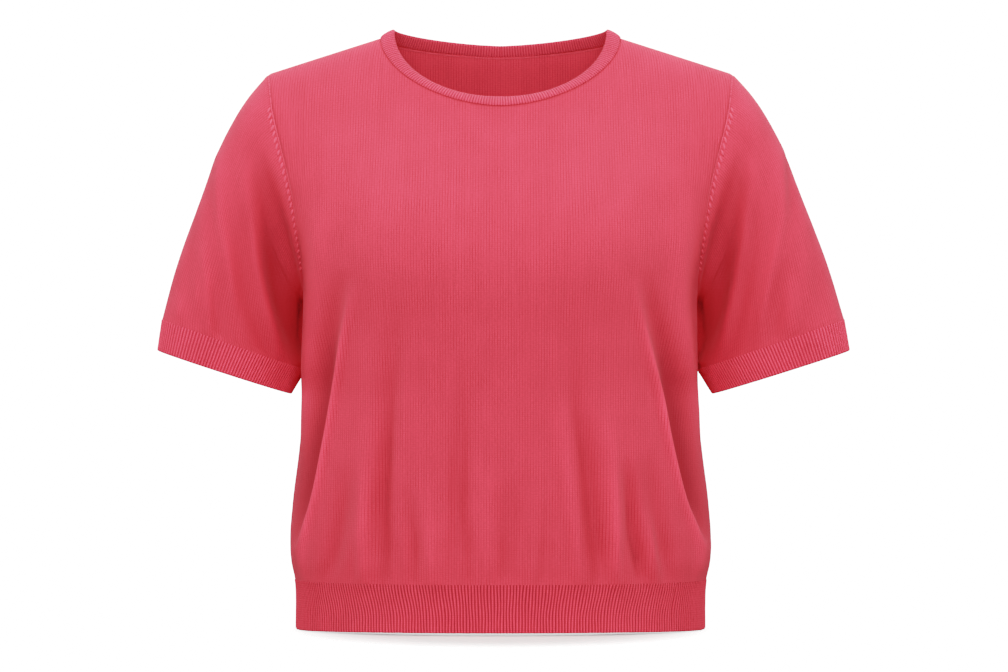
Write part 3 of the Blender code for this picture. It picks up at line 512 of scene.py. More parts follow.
def torso_depth(x, z, side):
    """How far the front or the back stands off the plane of the side and shoulder seams."""
    x, z = np.broadcast_arrays(np.asarray(x, float), np.asarray(z, float))
    power = level("squareness", z)
    inside = np.clip(1 - (np.abs(x) / level("half_width", z)) ** power, 0, None)
    below = np.clip((ridge_height(x) - z) / SHOULDER_ROLL, 0, 1)
    middle = level("front" if side == FRONT else "back", z)
    return middle * inside ** (1 / power) * np.sqrt(1 - (1 - below) ** 2)


def torso_point(x, z, side):
    x, z = np.broadcast_arrays(np.asarray(x, float), np.asarray(z, float))
    return np.stack([x, side * torso_depth(x, z, side), z], axis=-1)


def torso_normal(x, z, side):
    step = 0.05
    slope_x = (torso_depth(x + step, z, side) - torso_depth(x - step, z, side)) / (2 * step)
    slope_z = (torso_depth(x, z + step, side) - torso_depth(x, z - step, side)) / (2 * step)
    return unit(np.stack([-slope_x, side * np.ones_like(slope_x), -slope_z], axis=-1))


def ring_quarter(z, side, shares):
    """Points of one level from the middle of the front or back to the side seam."""
    turns = np.linspace(0, math.pi / 2, 241)
    half_width = float(level("half_width", z))
    return resample(torso_point(half_width * np.sin(turns), float(z), side), shares)


def neck_shape(turn, half_width, top_z, drop, roundness):
    """Point of a neck line; turn is 0 over the shoulder and 1 in the middle of front or back."""
    power = 2 / roundness
    x = half_width * np.cos(turn * math.pi / 2).clip(0) ** power
    return x, top_z - drop * np.sin(turn * math.pi / 2) ** power


def neck_seam(turn, side):
    x, z = neck_shape(turn, SHOULDER_NECK_X, SHOULDER_NECK_Z, NECK[side].seam_drop,
                      NECK[side].seam_roundness)
    return torso_point(x, z, side)


def neck_top(turn, side):
    x, z = neck_shape(turn, NECK_TOP_X, NECK_TOP_Z, NECK[side].top_drop, NECK[side].top_roundness)
    return np.stack([x, neck_seam(turn, side)[:, 1] * NECK[side].top_y_share, z], axis=-1)


def armhole_line(side):
    """Sleeve seam from the underarm up to the shoulder."""
    turns = np.linspace(0, math.pi, 321)
    heights = ((UNDERARM_Z + SHOULDER_TIP_Z) / 2
               - (SHOULDER_TIP_Z - UNDERARM_Z) / 2 * np.cos(turns))
    line = torso_point(column_at(ARMHOLE, "x", heights), heights, side)
    line[0] = (ARMHOLE[-1].x, 0, UNDERARM_Z)
    line[-1] = (SHOULDER_TIP_X, 0, SHOULDER_TIP_Z)
    return line


def upper_half(side):
    """Rows from the underarm level to the neck and shoulder, for the +X half of a panel."""
    rises = np.linspace(0, 1, 201)
    bottom = ring_quarter(UNDERARM_Z, side, COLUMN_SHARES)
    neck = resample(neck_seam(np.linspace(1, 0, 241), side),
                    COLUMN_SHARES[:NECK_COLUMNS + 1] / NECK_SHARE)
    tip = np.array([SHOULDER_TIP_X, 0.0, SHOULDER_TIP_Z])
    beyond = (COLUMN_SHARES[NECK_COLUMNS + 1:, None] - NECK_SHARE) / (1 - NECK_SHARE)
    top = np.concatenate([neck, neck[-1] + (tip - neck[-1]) * beyond])
    heights = np.linspace(UNDERARM_Z, neck[0][2], 241)
    middle = resample(torso_point(np.zeros_like(heights), heights, side), rises)
    armhole = resample(armhole_line(side), rises)
    share = COLUMN_SHARES[None, :, None]
    rise = rises[:, None, None]
    ends = (1 - rise) * bottom[None] + rise * top[None]
    sides = (1 - share) * middle[:, None] + share * armhole[:, None]
    corners = ((1 - share) * ends[:, :1] + share * ends[:, -1:])
    flat = ends + sides - corners
    dense = torso_point(flat[..., 0], flat[..., 2], side)
    dense[:, -1] = armhole
    dense[-1] = top
    columns = [resample(dense[:, index], UPPER_SHARES) for index in range(dense.shape[1])]
    return np.stack(columns, axis=1)


def fold_relief(folds, x, z):
    """Height of the folds over a plain surface."""
    total = np.zeros(np.broadcast(x, z).shape)
    for rows in folds:
        knots = [Knot(*row) for row in rows]
        centre, width, rise = (column_at(knots, name, z) for name in ("x", "half_width", "rise"))
        within = (z > knots[-1].z) & (z < knots[0].z)
        total += np.where(within, rise * np.exp(-((x - centre) / width) ** 2), 0)
    return total


def soft_unevenness(x, z, seed):
    """Sum of slight waves, longer down the cloth than across it."""
    draw = np.random.default_rng(seed)
    total = np.zeros(np.broadcast(x, z).shape)
    for _ in range(WAVES):
        across = draw.uniform(0.05, 0.20)
        down = draw.uniform(-0.022, 0.022)
        turn = draw.uniform(0, 2 * math.pi)
        total += np.sin(across * x + down * z + turn) / WAVES ** 0.5
    return total


def body_relief(x, z, side):
    total = fold_relief(FOLDS[side], x, z)
    if side == FRONT:
        for swell in CHEST_FULLNESS:
            across, up = (x - swell.x) / swell.half_width, (z - swell.z) / swell.half_height
            total += swell.rise * np.exp(-(across ** 2 + up ** 2))
    calm = 1 - 0.8 * ease(z, -230, -90)  # the chest and shoulders hang nearly even
    return total + BODY_WAVINESS * calm * soft_unevenness(x, z, 3 + side)


def dip(seam, distance):
    return -seam.depth * np.exp(-(distance / seam.half_width) ** 2)


def panel_grid(side):
    """Plain points of a panel: rows from the rib seam up, columns from -X to +X."""
    shares = np.linspace(0, 1, LOWER_ROWS + 1) ** LOWER_CROWDING
    heights = RIB_TOP_Z + (UNDERARM_Z - RIB_TOP_Z) * shares
    rows = [ring_quarter(z, side, COLUMN_SHARES) for z in heights[:-1]]
    half = np.concatenate([np.array(rows), upper_half(side)])
    return np.concatenate([mirrored(half)[:, :0:-1], half], axis=1)


def side_and_shoulder_seams():
    """Where the edges of a panel lie in the plane between front and back."""
    for column in (0, -1):
        yield slice(LOWER_ROWS + 1), column
    yield -1, slice(NECK_LOW + 1)
    yield -1, slice(NECK_HIGH, None)


def seam_normals(points, side):
    """Outward directions, laid in the plane of each seam so that both pieces share them."""
    normals = torso_normal(points[..., 0], points[..., 2], side)
    normals[0, :, 2] = 0
    for edge in side_and_shoulder_seams():
        normals[edge][..., 1] = 0
    return unit(normals)


def stitch_places(points, side):
    """Where each point lies in the knit: across from the middle, and up the wales."""
    x, z = points[..., 0], points[..., 2]
    steps = np.linspace(0, 1, 41)[:, None, None]
    across = line_lengths(torso_point(x * steps, z, side))[-1] * np.sign(x)
    up = line_lengths(torso_point(x, HEM_Z + (z - HEM_Z) * steps, side))[-1]
    return np.stack([across, up], axis=-1)


def shaped_panel(side):
    """Outer points of a panel with its folds and seam dips, its normals, its stitch places and
    the height on its folds that its painted shade and light are drawn for."""
    plain = panel_grid(side)
    normals = seam_normals(plain, side)
    x, z = plain[..., 0], plain[..., 2]
    from_left = line_lengths(plain.transpose(1, 0, 2)).T
    from_edge = np.minimum(from_left, from_left[:, -1:] - from_left)
    from_foot = line_lengths(plain)
    from_top = from_foot[-1:] - from_foot
    within = ease(from_edge, 0, 14) * ease(from_top, 0, 30)  # folds die out at the seams
    relief = body_relief(x, z, side) * within
    # painted shade and light: troughs, seams and the lower front drawn darker, ridges lighter
    fold_height = fold_relief(FOLDS[side], x, z) * within
    if side == FRONT:
        fold_height += fold_relief(PLEAT_PAINTED_SHADE, x, z) * ease(from_edge, 0, 5)
        # painted shade: the front drawn darker towards the bottom
        fold_height -= LOW_FRONT_SHADE * ease(-z, *LOW_FRONT_SHADE_FROM_TO)
    lower = np.arange(len(plain))[:, None] < LOWER_ROWS
    middle = np.abs(np.arange(plain.shape[1]) - HALF_COLUMNS)[None] <= NECK_COLUMNS
    seams = (np.where(lower, dip(SIDE_DIP, from_edge), dip(ARMHOLE_DIP, from_edge))
             + np.where(middle, dip(NECK_DIP, from_top), dip(SHOULDER_DIP, from_top)))
    return (plain + normals * (relief + seams)[..., None], normals, stitch_places(plain, side),
            fold_height + seams * SEAM_SHADE)


# ================================================================ the sleeves
def ring_points(ring, spread, front_shares):
    """Loop of a sleeve ring: outer point, front, inner point, back, at the given shares."""
    reach = spread * ring.along
    outer = np.array([ring.outer_x + reach, ring.outer_y, ring.outer_z])
    inner = np.array([ring.inner_x + reach * 0.4, ring.inner_y, ring.inner_z])
    centre = (outer + inner) / 2
    arm = (outer - inner) / 2
    forward = np.array([0.0, -ring.half_depth, 0.0])
    power = 2 / ring.squareness

    def half(first, shares):
        turns = np.linspace(first, first + math.pi, 361)[:, None]
        c, s = np.cos(turns), np.sin(turns)
        line = (centre + arm * np.sign(c) * np.abs(c) ** power
                + forward * np.sign(s) * np.abs(s) ** power)
        return resample(line, shares)[:-1]

    return np.concatenate([half(0.0, front_shares), half(math.pi, 1 - front_shares[::-1])])


def armhole_loop(front, back):
    """Values on the +X sleeve seam: shoulder, down the front edge, underarm, up the back edge."""
    return np.concatenate([front[:LOWER_ROWS - 1:-1, -1], back[LOWER_ROWS + 1:-1, -1]])


def loop_axis(loop):
    """Direction square to a flat loop, pointing down the sleeve."""
    centre = loop.mean(axis=0)
    total = np.cross(loop - centre, np.roll(loop, -1, axis=0) - centre).sum(axis=0)
    axis = total / np.linalg.norm(total)
    return axis if axis[2] < 0 else -axis


def tube_normals(points):
    """Outward directions of a tube; those of its last ring lie in that ring's plane."""
    down = np.gradient(points, axis=0)
    across = (np.roll(points, -1, axis=1) - np.roll(points, 1, axis=1)) / 2
    normals = unit(np.cross(across, down))
    axis = loop_axis(points[-1])
    normals[-1] -= np.outer(normals[-1] @ axis, axis)
    return unit(normals)


def round_place(points):
    """Signed distance round each ring from its outer point: front is positive, back negative."""
    wrapped = np.concatenate([points, points[:, :1]], axis=1)
    lengths = line_lengths(wrapped.transpose(1, 0, 2)).T
    half = points.shape[1] // 2
    return np.where(np.arange(points.shape[1] + 1) <= half, lengths, lengths - lengths[:, -1:])


def shaped_sleeve(name, loop, front_shares):
    """Outer points of a sleeve, for +X, with its folds; its normals, how far each point lies from
    the seam, and the height its painted shade and light are drawn for."""
    keys = [loop] + [ring_points(ring, SPREAD[name], front_shares) for ring in SLEEVE]
    places = [0.0] + [ring.along for ring in SLEEVE]
    plain = smooth_between(places, keys, ALONG_SHARES)
    normals = tube_normals(plain)
    from_seam = line_lengths(plain)
    half = len(loop) // 2
    column = np.arange(len(loop))
    facing = np.sin(np.clip(np.where(column <= half, column, column - half) / half, 0, 1) * math.pi)
    facing = ease(facing, 0, 0.14)[None]  # 0 along the outer and inner lines, 1 between them
    fold_height = np.zeros(plain.shape[:2])
    for side, shown in ((FRONT, column <= half), (BACK, column > half)):
        folds = fold_relief(SLEEVE_FOLDS[name, side], plain[..., 0], plain[..., 2])
        fold_height += np.where(shown[None], folds * facing, 0)
    fold_height *= ease(from_seam, 2, 22)
    waviness = soft_unevenness(round_place(plain)[:, :-1], from_seam, SLEEVE_SEED[name])
    relief = (fold_height + SLEEVE_WAVINESS * waviness) * ease(from_seam, 0, 16)
    relief[-3:] *= np.array([0.7, 0.4, 0.0])[:, None]  # even where the cuff is linked on
    seams = dip(ARMHOLE_DIP, from_seam)
    relief += seams + dip(MARKS_DIP, from_seam - MARKS_FROM_SEAM) * marked(plain[..., 2])
    # painted shade: the valleys and the seam's groove are drawn darker
    shade = np.where(fold_height < 0, VALLEY_SHADE, 1.0) * fold_height + seams * SEAM_SHADE
    return plain + normals * relief[..., None], normals, from_seam, shade


def marked(z):
    """1 where the fashioning marks run beside the sleeve seam, and 0 above and below them."""
    return ease(z, MARKS_FOOT_Z - 12, MARKS_FOOT_Z) * (1 - ease(z, MARKS_TOP_Z, MARKS_TOP_Z + 12))


def mitre(loop, body_normals, sleeve_out):
    """Shared inner edge and shared square direction of the joint of body and sleeve."""
    both = body_normals + sleeve_out
    size = np.linalg.norm(both, axis=1, keepdims=True)
    reach = np.minimum(2 * BODY_WALL / np.maximum(size, 1e-6), LONGEST_MITRE)
    inward = -both / np.maximum(size, 1e-6) * reach
    return inward, unit(np.cross(unit(around(loop)), inward))


# ================================================================ pieces of cloth
def new_object(name, data, collection):
    made = bpy.data.objects.new(name, data)
    collection.objects.link(made)
    return made


def set_values(mesh, name, values):
    """Gives each point of a mesh a number or a direction."""
    vector = values.shape[1] == 3
    layer = mesh.attributes.new(name, "FLOAT_VECTOR" if vector else "FLOAT", "POINT")
    layer.data.foreach_set("vector" if vector else "value", values.ravel())


class Cloth:
    """Points, faces and stitch places of one closed piece."""

    def __init__(self):
        self.points = []
        self.faces = []
        self.places = []
        self.marks = {}
        self.count = 0

    def add(self, points, **marks):
        """Adds a grid of points with values for them, and returns the grid of their numbers."""
        points = np.asarray(points, float)
        size = int(np.prod(points.shape[:-1]))
        self.points.append(points.reshape(-1, 3))
        for name, values in marks.items():
            self.marks.setdefault(name, []).append(np.asarray(values, float).reshape(size, -1))
        self.count += size
        return np.arange(self.count - size, self.count).reshape(points.shape[:-1])

    def lattice(self, index, places):
        """Faces of a grid; where places has one more column than index, the rows are closed."""
        if places.shape[1] > index.shape[1]:
            index = np.concatenate([index, index[:, :1]], axis=1)
        for grid, kept in ((index, self.faces), (places, self.places)):
            corners = (grid[:-1, :-1], grid[:-1, 1:], grid[1:, 1:], grid[1:, :-1])
            kept.append(np.stack(corners, axis=2).reshape((-1, 4) + grid.shape[2:]))

    def make(self, name, material):
        mesh = bpy.data.meshes.new(name)
        mesh.from_pydata((np.concatenate(self.points) * MM).tolist(), [],
                         np.concatenate(self.faces).tolist())
        stitches = mesh.uv_layers.new(name="stitches")
        stitches.data.foreach_set("uv", np.concatenate(self.places).ravel())
        for mark, values in self.marks.items():
            set_values(mesh, mark, np.concatenate(values))
        shape = bmesh.new()
        shape.from_mesh(mesh)
        bmesh.ops.recalc_face_normals(shape, faces=shape.faces)
        shape.to_mesh(mesh)
        shape.free()
        mesh.shade_smooth()
        mesh.set_sharp_from_angle(angle=math.radians(50))
        mesh.materials.append(material)
        return new_object(name, mesh, jumper)


def off_neck(line, normals):
    """Directions in the cloth, square to its neck edge and away from the neck."""
    away = unit(np.cross(np.gradient(line, axis=0), normals))
    return away * np.sign(-away[:, 2:])


def make_panel(name, side, shaped, joints):
    """The front or the back, parted from its neighbours by half a gap at every edge. Each joint
    gives the wall's inner edge at one armhole and the way off the sleeve."""
    points, normals, places, fold_height = shaped
    inward = -normals * BODY_WALL
    shift = np.zeros_like(points)
    shift[0, :, 2] += HALF_GAP
    for edge in side_and_shoulder_seams():
        shift[edge][..., 1] += side * HALF_GAP
    neck = slice(NECK_LOW, NECK_HIGH + 1)
    shift[-1, neck] += off_neck(points[-1, neck], normals[-1, neck]) * HALF_GAP
    for column, (edge_inward, away) in zip((0, -1), joints):
        inward[LOWER_ROWS:, column] = edge_inward
        shift[LOWER_ROWS:, column] += away * HALF_GAP
    return make_wall(name, points + shift, points + inward + shift, fold_height, places)


def make_wall(name, outside, inside, fold_height, places):
    """A wall of plain knit from the points of its two sides, closed at its edges."""
    cloth = Cloth()
    outer = cloth.add(outside, fold_height=fold_height)
    # painted light: the inside face is drawn lighter than the light it gets
    inner = cloth.add(inside, fold_height=np.full_like(fold_height, INSIDE_PAINTED_LIGHT))
    cloth.lattice(outer, places)
    cloth.lattice(inner, places)
    edges = [np.s_[0], np.s_[-1]]
    if places.shape[1] == outer.shape[1]:
        edges += [np.s_[:, 0], np.s_[:, -1]]
    for edge in edges:
        cloth.lattice(np.stack([outer[edge], inner[edge]]), np.stack([places[edge]] * 2))
    return cloth.make(name, plain_knit)


def make_sleeve(name, shaped, inward_edge, toward_sleeve, mirror):
    """A sleeve, which is shaped for +X and turned over where it is the one at -X."""
    points, normals, from_seam, fold_height = shaped
    inward = -normals * BODY_WALL
    inward[0] = inward_edge
    shift = np.zeros_like(points)
    shift[0] = toward_sleeve * HALF_GAP
    shift[-1] = -loop_axis(points[-1]) * HALF_GAP
    down = np.concatenate([from_seam, from_seam[:, :1]], axis=1)
    places = np.stack([round_place(points), -down], axis=-1)
    return make_wall(name, mirrored(points + shift, mirror),
                     mirrored(points + inward + shift, mirror), fold_height, places)


def make_ribbed(name, sections, shade, down, knit, ring=True):
    """A ribbed piece from the rows of points round its section, each row with its directions out
    and its share of the ribs. Each row lies so far down the wales, and ring closes the rows."""
    rows, outs, ribs = (np.array(part) for part in zip(*sections))
    columns = rows.shape[1]
    turn = np.tile(np.arange(columns) / COLUMNS_PER_RIB, (len(rows), 1))
    cloth = Cloth()
    index = cloth.add(rows, rib_turn=turn, rib_out=outs, rib_share=ribs,
                      fold_height=np.broadcast_to(shade, turn.shape))
    across = np.arange(columns + ring) / COLUMNS_PER_RIB * RIB_PITCH
    places = np.stack(np.broadcast_arrays(across[None], -down[:, None]), axis=-1)
    cloth.lattice(closed_up(index), closed_up(places))
    if not ring:
        for column in (0, -1):
            cap(cloth, index[:, column], places[:, column])
    return cloth.make(name, knit)


def make_hem(name, side):
    """Ribbed welt under the front or the back; each rib keeps its own columns of points."""
    turns = np.linspace(0, math.pi / 2, 601)

    def ring(z):
        half = torso_point(float(level("half_width", z)) * np.sin(turns), float(z), side)
        return np.concatenate([mirrored(half)[:0:-1], half])

    foot_length = line_lengths(ring(HEM_Z))[-1]
    rib_count = round(foot_length / RIB_PITCH)
    shares = np.linspace(0, 1, rib_count * COLUMNS_PER_RIB + 1)
    across = 2 * shares - 1
    sections, heights = [], []
    for point in WELT_SECTION:
        z = RIB_TOP_Z + (HEM_Z - RIB_TOP_Z) * point.share - HALF_GAP * (point.share == 0)
        line = ring(z)
        length = line_lengths(line)[-1]
        lean = WELT_LEAN * np.sin(across * LEAN_TURN) * (1 - ease(point.share, 0, 0.75))
        # ribs wander in a long wave and a short one, which drift on their way down
        wander = np.sin(across * 41 + point.share * 5) * math.sin(point.share * math.pi)
        wander += 0.5 * np.sin(across * 97 - point.share * 7 + side)
        calm = ease(1 - np.abs(across), 0, 0.06)
        row = resample(line, shares + (lean + WELT_WANDER * wander) * calm / length)
        out = torso_normal(row[:, 0], row[:, 2], side)
        out[:, 2] = 0
        out[[0, -1], 1] = 0
        out = unit(out)
        row[:, 2] -= HEM_SAG * np.abs(row[:, 0] / row[:, 0].max()) ** 4 * point.share
        relief = body_relief(row[:, 0], np.full(len(row), z), side) * calm
        relief *= 1 - ease(point.share, 0.05, 0.85)
        if side == FRONT:
            relief += fold_relief([WELT_CREASE], row[:, 0], np.full(len(row), z))
        from_end = np.minimum(shares, 1 - shares) * length
        relief += dip(SIDE_DIP, from_end)
        row += out * (relief - RIB_WALL * point.inward)[:, None]
        row[:, 1] += side * HALF_GAP
        sections.append((row, out * wall_side(point), point.ribs * ease(from_end, 0.5, 3.0)))
        # painted shade and light: the outer face drawn darker in the folds' troughs, lighter on
        # ridges
        heights.append(relief * (point.inward == 0))
    down = np.array([point.share for point in WELT_SECTION]) * (RIB_TOP_Z - HEM_Z)
    return make_ribbed(name, sections, np.array(heights), down, rib_knit, ring=False)


def wall_side(point):
    """1 where a welt's section faces out, and -1 where it faces in."""
    return 1 if point.inward < 0.5 else -1


def cap(cloth, ring, places):
    """Closes the end of a welt: each outer point is joined to the inner one across from it."""
    low = np.arange(len(ring) // 2 - 1)
    corners = np.stack([low, low + 1, len(ring) - 2 - low, len(ring) - 1 - low], axis=1)
    cloth.faces.append(ring[corners])
    cloth.places.append(places[corners])


def make_cuff(name, spread, mirror):
    """Ribbed tube under the sleeve."""
    shares = np.linspace(0, 1, 301)
    rings = [ring_points(ring, spread, shares) for ring in (SLEEVE[-1], CUFF_EDGE)]
    length = line_lengths(closed_up(rings[1]))[-1]
    rib_count = 2 * round(length / RIB_PITCH / 2)
    shares = np.linspace(0, 1, rib_count * COLUMNS_PER_RIB // 2 + 1)
    top, foot = (ring_points(ring, spread, shares) for ring in (SLEEVE[-1], CUFF_EDGE))
    axis = loop_axis(top)
    top = top + axis * HALF_GAP
    out = unit(np.cross(around(top), axis))
    out *= np.sign(np.einsum("ij,ij->", out, top - top.mean(axis=0)))
    sections = [(mirrored(top + (foot - top) * point.share - out * RIB_WALL * point.inward, mirror),
                 mirrored(out * wall_side(point), mirror), np.full(len(top), point.ribs))
                for point in WELT_SECTION]
    depth = np.linalg.norm(foot - top, axis=1).mean()
    down = np.array([point.share for point in WELT_SECTION]) * depth
    # painted light: the whole cuff is drawn lighter
    return make_ribbed(name, sections, CUFF_PAINTED_LIGHT, down, narrow_rib)


def neck_loop(turns):
    """Seam points, top points and body normals round the neck, from +X over the front."""
    seam, top, normal = [], [], []
    for side, order, flip in ((FRONT, turns, False), (FRONT, turns[::-1], True),
                              (BACK, turns, True), (BACK, turns[::-1], False)):
        edge = neck_seam(order, side)
        lines = (edge, neck_top(order, side), torso_normal(edge[:, 0], edge[:, 2], side))
        for kept, line in zip((seam, top, normal), lines):
            kept.append((mirrored(line) if flip else line)[:-1])
    return np.concatenate(seam), np.concatenate(top), np.concatenate(normal)


def make_neckband(name):
    """Doubled ribbed band round the neck."""
    loops = [closed_up(line) for line in neck_loop(np.linspace(0, 1, 401))]
    lengths = line_lengths(loops[0])
    rib_count = round(lengths[-1] / NECK_RIB_PITCH)
    at = np.linspace(0, lengths[-1], rib_count * COLUMNS_PER_RIB + 1)[:-1]
    seam, top, body_out = (at_lengths(line, lengths, at) for line in loops)
    body_out = unit(body_out)
    tangent = unit(around(seam))
    across = top - seam
    across -= tangent * np.einsum("ij,ij->i", across, tangent)[:, None]
    width = np.linalg.norm(across, axis=1, keepdims=True)
    across = across / width
    band_out = unit(np.cross(across, tangent))
    band_out *= np.sign(band_out[:, 2:] + 1e-9)
    sections = []
    for point in BAND_SECTION:
        blend = ease(point.share, 0.0, 0.45)
        out = unit(body_out * (1 - blend) + band_out * blend)
        row = seam + across * (width * point.share + HALF_GAP) + out * point.out
        sections.append((row, out * (1 if point.out > BAND_TURNS_IN else -1),
                         np.full(len(seam), point.ribs)))
    round_section = line_lengths(np.array([row[0] for row, _, _ in sections]))
    return make_ribbed(name, sections, BAND_SHADE, -round_section, narrow_rib)


# ================================================================ node trees
def node(tree, kind, inputs=(), **settings):
    """Adds a node with its settings; inputs give its sockets by name or number."""
    made = tree.nodes.new(kind)
    for name, value in settings.items():
        setattr(made, name, value)
    for socket, value in dict(inputs).items():
        if isinstance(value, bpy.types.NodeSocket):
            tree.links.new(value, made.inputs[socket])
        else:
            made.inputs[socket].default_value = value
    return made


def first(tree, kind, inputs=(), **settings):
    """First result of a new node."""
    return node(tree, kind, inputs, **settings).outputs[0]


def sums(tree, operation, *values):
    """Result of a sum with numbers, or with what other nodes give."""
    return first(tree, "ShaderNodeMath", dict(enumerate(values)), operation=operation)


def vectors(tree, operation, *values, **scale):
    """The same with vectors."""
    made = node(tree, "ShaderNodeVectorMath", {**dict(enumerate(values)), **scale},
                operation=operation)
    return made.outputs["Value" if operation == "LENGTH" else "Vector"]


def noise(tree, place, scale, detail=2.0, **more):
    """Soft random patches; a larger scale makes them smaller."""
    return node(tree, "ShaderNodeTexNoise",
                {"Vector": place, "Scale": scale, "Detail": detail, **more}).outputs


def spread(tree, value, low, high, to_low, to_high, **settings):
    """Carries the range from low to high over to the range from to_low to to_high."""
    return first(tree, "ShaderNodeMapRange", {"Value": value, "From Min": low, "From Max": high,
                                              "To Min": to_low, "To Max": to_high}, **settings)


def linear(colour):
    """Linear colour of an sRGB hex value."""
    parts = [int(colour[place:place + 2], 16) / 255 for place in (1, 3, 5)]
    return [p / 12.92 if p <= 0.04045 else ((p + 0.055) / 1.055) ** 2.4 for p in parts] + [1.0]


def sockets(tree, **wanted):
    """Gives a geometry tree its inputs and its output."""
    tree.is_modifier = True
    tree.interface.new_socket("Cloth", in_out="INPUT", socket_type="NodeSocketGeometry")
    for name, kind in wanted.items():
        tree.interface.new_socket(name, in_out="INPUT", socket_type="NodeSocket" + kind)
    tree.interface.new_socket("Cloth", in_out="OUTPUT", socket_type="NodeSocketGeometry")
    return tree.nodes.new("NodeGroupInput").outputs


def attribute(tree, name, kind):
    return first(tree, "GeometryNodeInputNamedAttribute", {"Name": name}, data_type=kind)


def rib_tree():
    """Raises ribs out of a plain band of cloth, each a little different from the next."""
    tree = bpy.data.node_groups.new("raise_ribs", "GeometryNodeTree")
    given = sockets(tree, Rise="Float", Unevenness="Float", Knit="Material")
    angle = sums(tree, "MULTIPLY", attribute(tree, "rib_turn", "FLOAT"), math.pi)
    arch = sums(tree, "ABSOLUTE", sums(tree, "COSINE", angle))
    ridge = sums(tree, "MULTIPLY_ADD", sums(tree, "POWER", arch, RIB_SQUARENESS), 2.0, -1.0)
    rough = first(tree, "ShaderNodeTexNoise", {"Scale": 90.0, "Detail": 1.0})
    swing = sums(tree, "ADD", rough, -0.5)
    uneven = sums(tree, "MULTIPLY_ADD", swing, given["Unevenness"], 1.0)
    high = sums(tree, "MULTIPLY", ridge, sums(tree, "MULTIPLY", given["Rise"], uneven))
    height = sums(tree, "MULTIPLY", high, attribute(tree, "rib_share", "FLOAT"))
    offset = vectors(tree, "SCALE", attribute(tree, "rib_out", "FLOAT_VECTOR"), Scale=height)
    moved = first(tree, "GeometryNodeSetPosition", {"Geometry": given["Cloth"], "Offset": offset})
    finish_tree(tree, moved, given["Knit"])
    return tree


def finish_tree(tree, cloth, material):
    dressed = first(tree, "GeometryNodeSetMaterial", {"Geometry": cloth, "Material": material})
    node(tree, "NodeGroupOutput", {"Cloth": dressed})


def stitch_tree():
    """Sets stitches along a path: each a small bulge of yarn, leaning to the path."""
    tree = bpy.data.node_groups.new("stitches_on_a_path", "GeometryNodeTree")
    given = sockets(tree, Pitch="Float", Width="Float", Length="Float", Height="Float",
                    Lean="Float", Seed="Int", Yarn="Material")
    path = first(tree, "GeometryNodeMeshToCurve", {"Mesh": given["Cloth"]})
    spaced = first(tree, "GeometryNodeResampleCurve", {"Curve": path, "Length": given["Pitch"]},
                   mode="LENGTH")
    ball = first(tree, "GeometryNodeMeshUVSphere", {"Segments": 8, "Rings": 6, "Radius": 0.5})
    size = first(tree, "ShaderNodeCombineXYZ",
                 {"X": given["Width"], "Y": given["Length"], "Z": given["Height"]})
    bulge = first(tree, "GeometryNodeTransform", {"Geometry": ball, "Scale": size})
    stand = first(tree, "FunctionNodeAlignRotationToVector",
                  {"Vector": attribute(tree, "cloth_out", "FLOAT_VECTOR")}, axis="Z")
    along = first(tree, "FunctionNodeAlignRotationToVector",
                  {"Rotation": stand, "Vector": first(tree, "GeometryNodeInputTangent")},
                  axis="Y", pivot_axis="Z")
    lean = first(tree, "FunctionNodeAxisAngleToRotation",
                 {"Axis": (0, 0, 1), "Angle": given["Lean"]})
    turned = first(tree, "FunctionNodeRotateRotation", {"Rotation": along, "Rotate By": lean},
                   rotation_space="LOCAL")
    uneven = node(tree, "FunctionNodeRandomValue", {2: 0.86, 3: 1.14, "Seed": given["Seed"]},
                  data_type="FLOAT").outputs[1]
    many = first(tree, "GeometryNodeInstanceOnPoints",
                 {"Points": spaced, "Instance": bulge, "Rotation": turned, "Scale": uneven})
    whole = first(tree, "GeometryNodeRealizeInstances", {"Geometry": many})
    finish_tree(tree, first(tree, "GeometryNodeSetShadeSmooth", {"Geometry": whole}),
                given["Yarn"])
    return tree


def worked(piece, tree, **values):
    """Runs a geometry tree on a piece and keeps the result as its plain mesh."""
    modifier = piece.modifiers.new(tree.name, "NODES")
    modifier.node_group = tree
    for item in tree.interface.items_tree:
        if item.in_out == "INPUT" and item.name in values:
            modifier[item.identifier] = values[item.name]
    ready = bpy.context.evaluated_depsgraph_get()
    mesh = bpy.data.meshes.new_from_object(
        piece.evaluated_get(ready), preserve_all_data_layers=True, depsgraph=ready)
    piece.modifiers.remove(modifier)
    plain = piece.data
    piece.data = mesh
    bpy.data.meshes.remove(plain)
    mesh.name = piece.name
    return piece


# ================================================================ materials
def knit_places(tree, wobble):
    """Place in the knit, in millimetres across and up, and the same with the yarn's own
    unevenness, which moves it by up to about half of wobble."""
    place = first(tree, "ShaderNodeUVMap", uv_map="stitches")
    drift = noise(tree, place, 0.32)["Color"]
    centred = vectors(tree, "SUBTRACT", drift, (0.5, 0.5, 0.5))
    moved = vectors(tree, "ADD", place, vectors(tree, "SCALE", centred, Scale=wobble))
    across, up, _ = node(tree, "ShaderNodeSeparateXYZ", {0: moved}).outputs
    return place, across, up


def streaks(tree, place):
    """Faint lighter and darker lines down the wales, from yarn that is never quite even, and the
    grain of single stitches, drawn nearly twice as wide as they are so that it shows."""
    down = first(tree, "ShaderNodeMapping", {"Vector": place, "Scale": (0.30, 0.011, 1.0)})
    lines = noise(tree, down, 1.0, 3.0, Roughness=0.6)["Fac"]
    soft = noise(tree, place, 0.035)["Fac"]
    courses = first(tree, "ShaderNodeMapping", {"Vector": place, "Scale": (0.42, 1.05, 1.0)})
    grain = noise(tree, courses, GRAIN_SCALE, 1.0)["Fac"]
    whole = sums(tree, "MULTIPLY_ADD", grain, GRAIN_SHARE, sums(tree, "ADD", lines, soft))
    return spread(tree, whole, 1.55, 2.45, 0.92, 1.08)


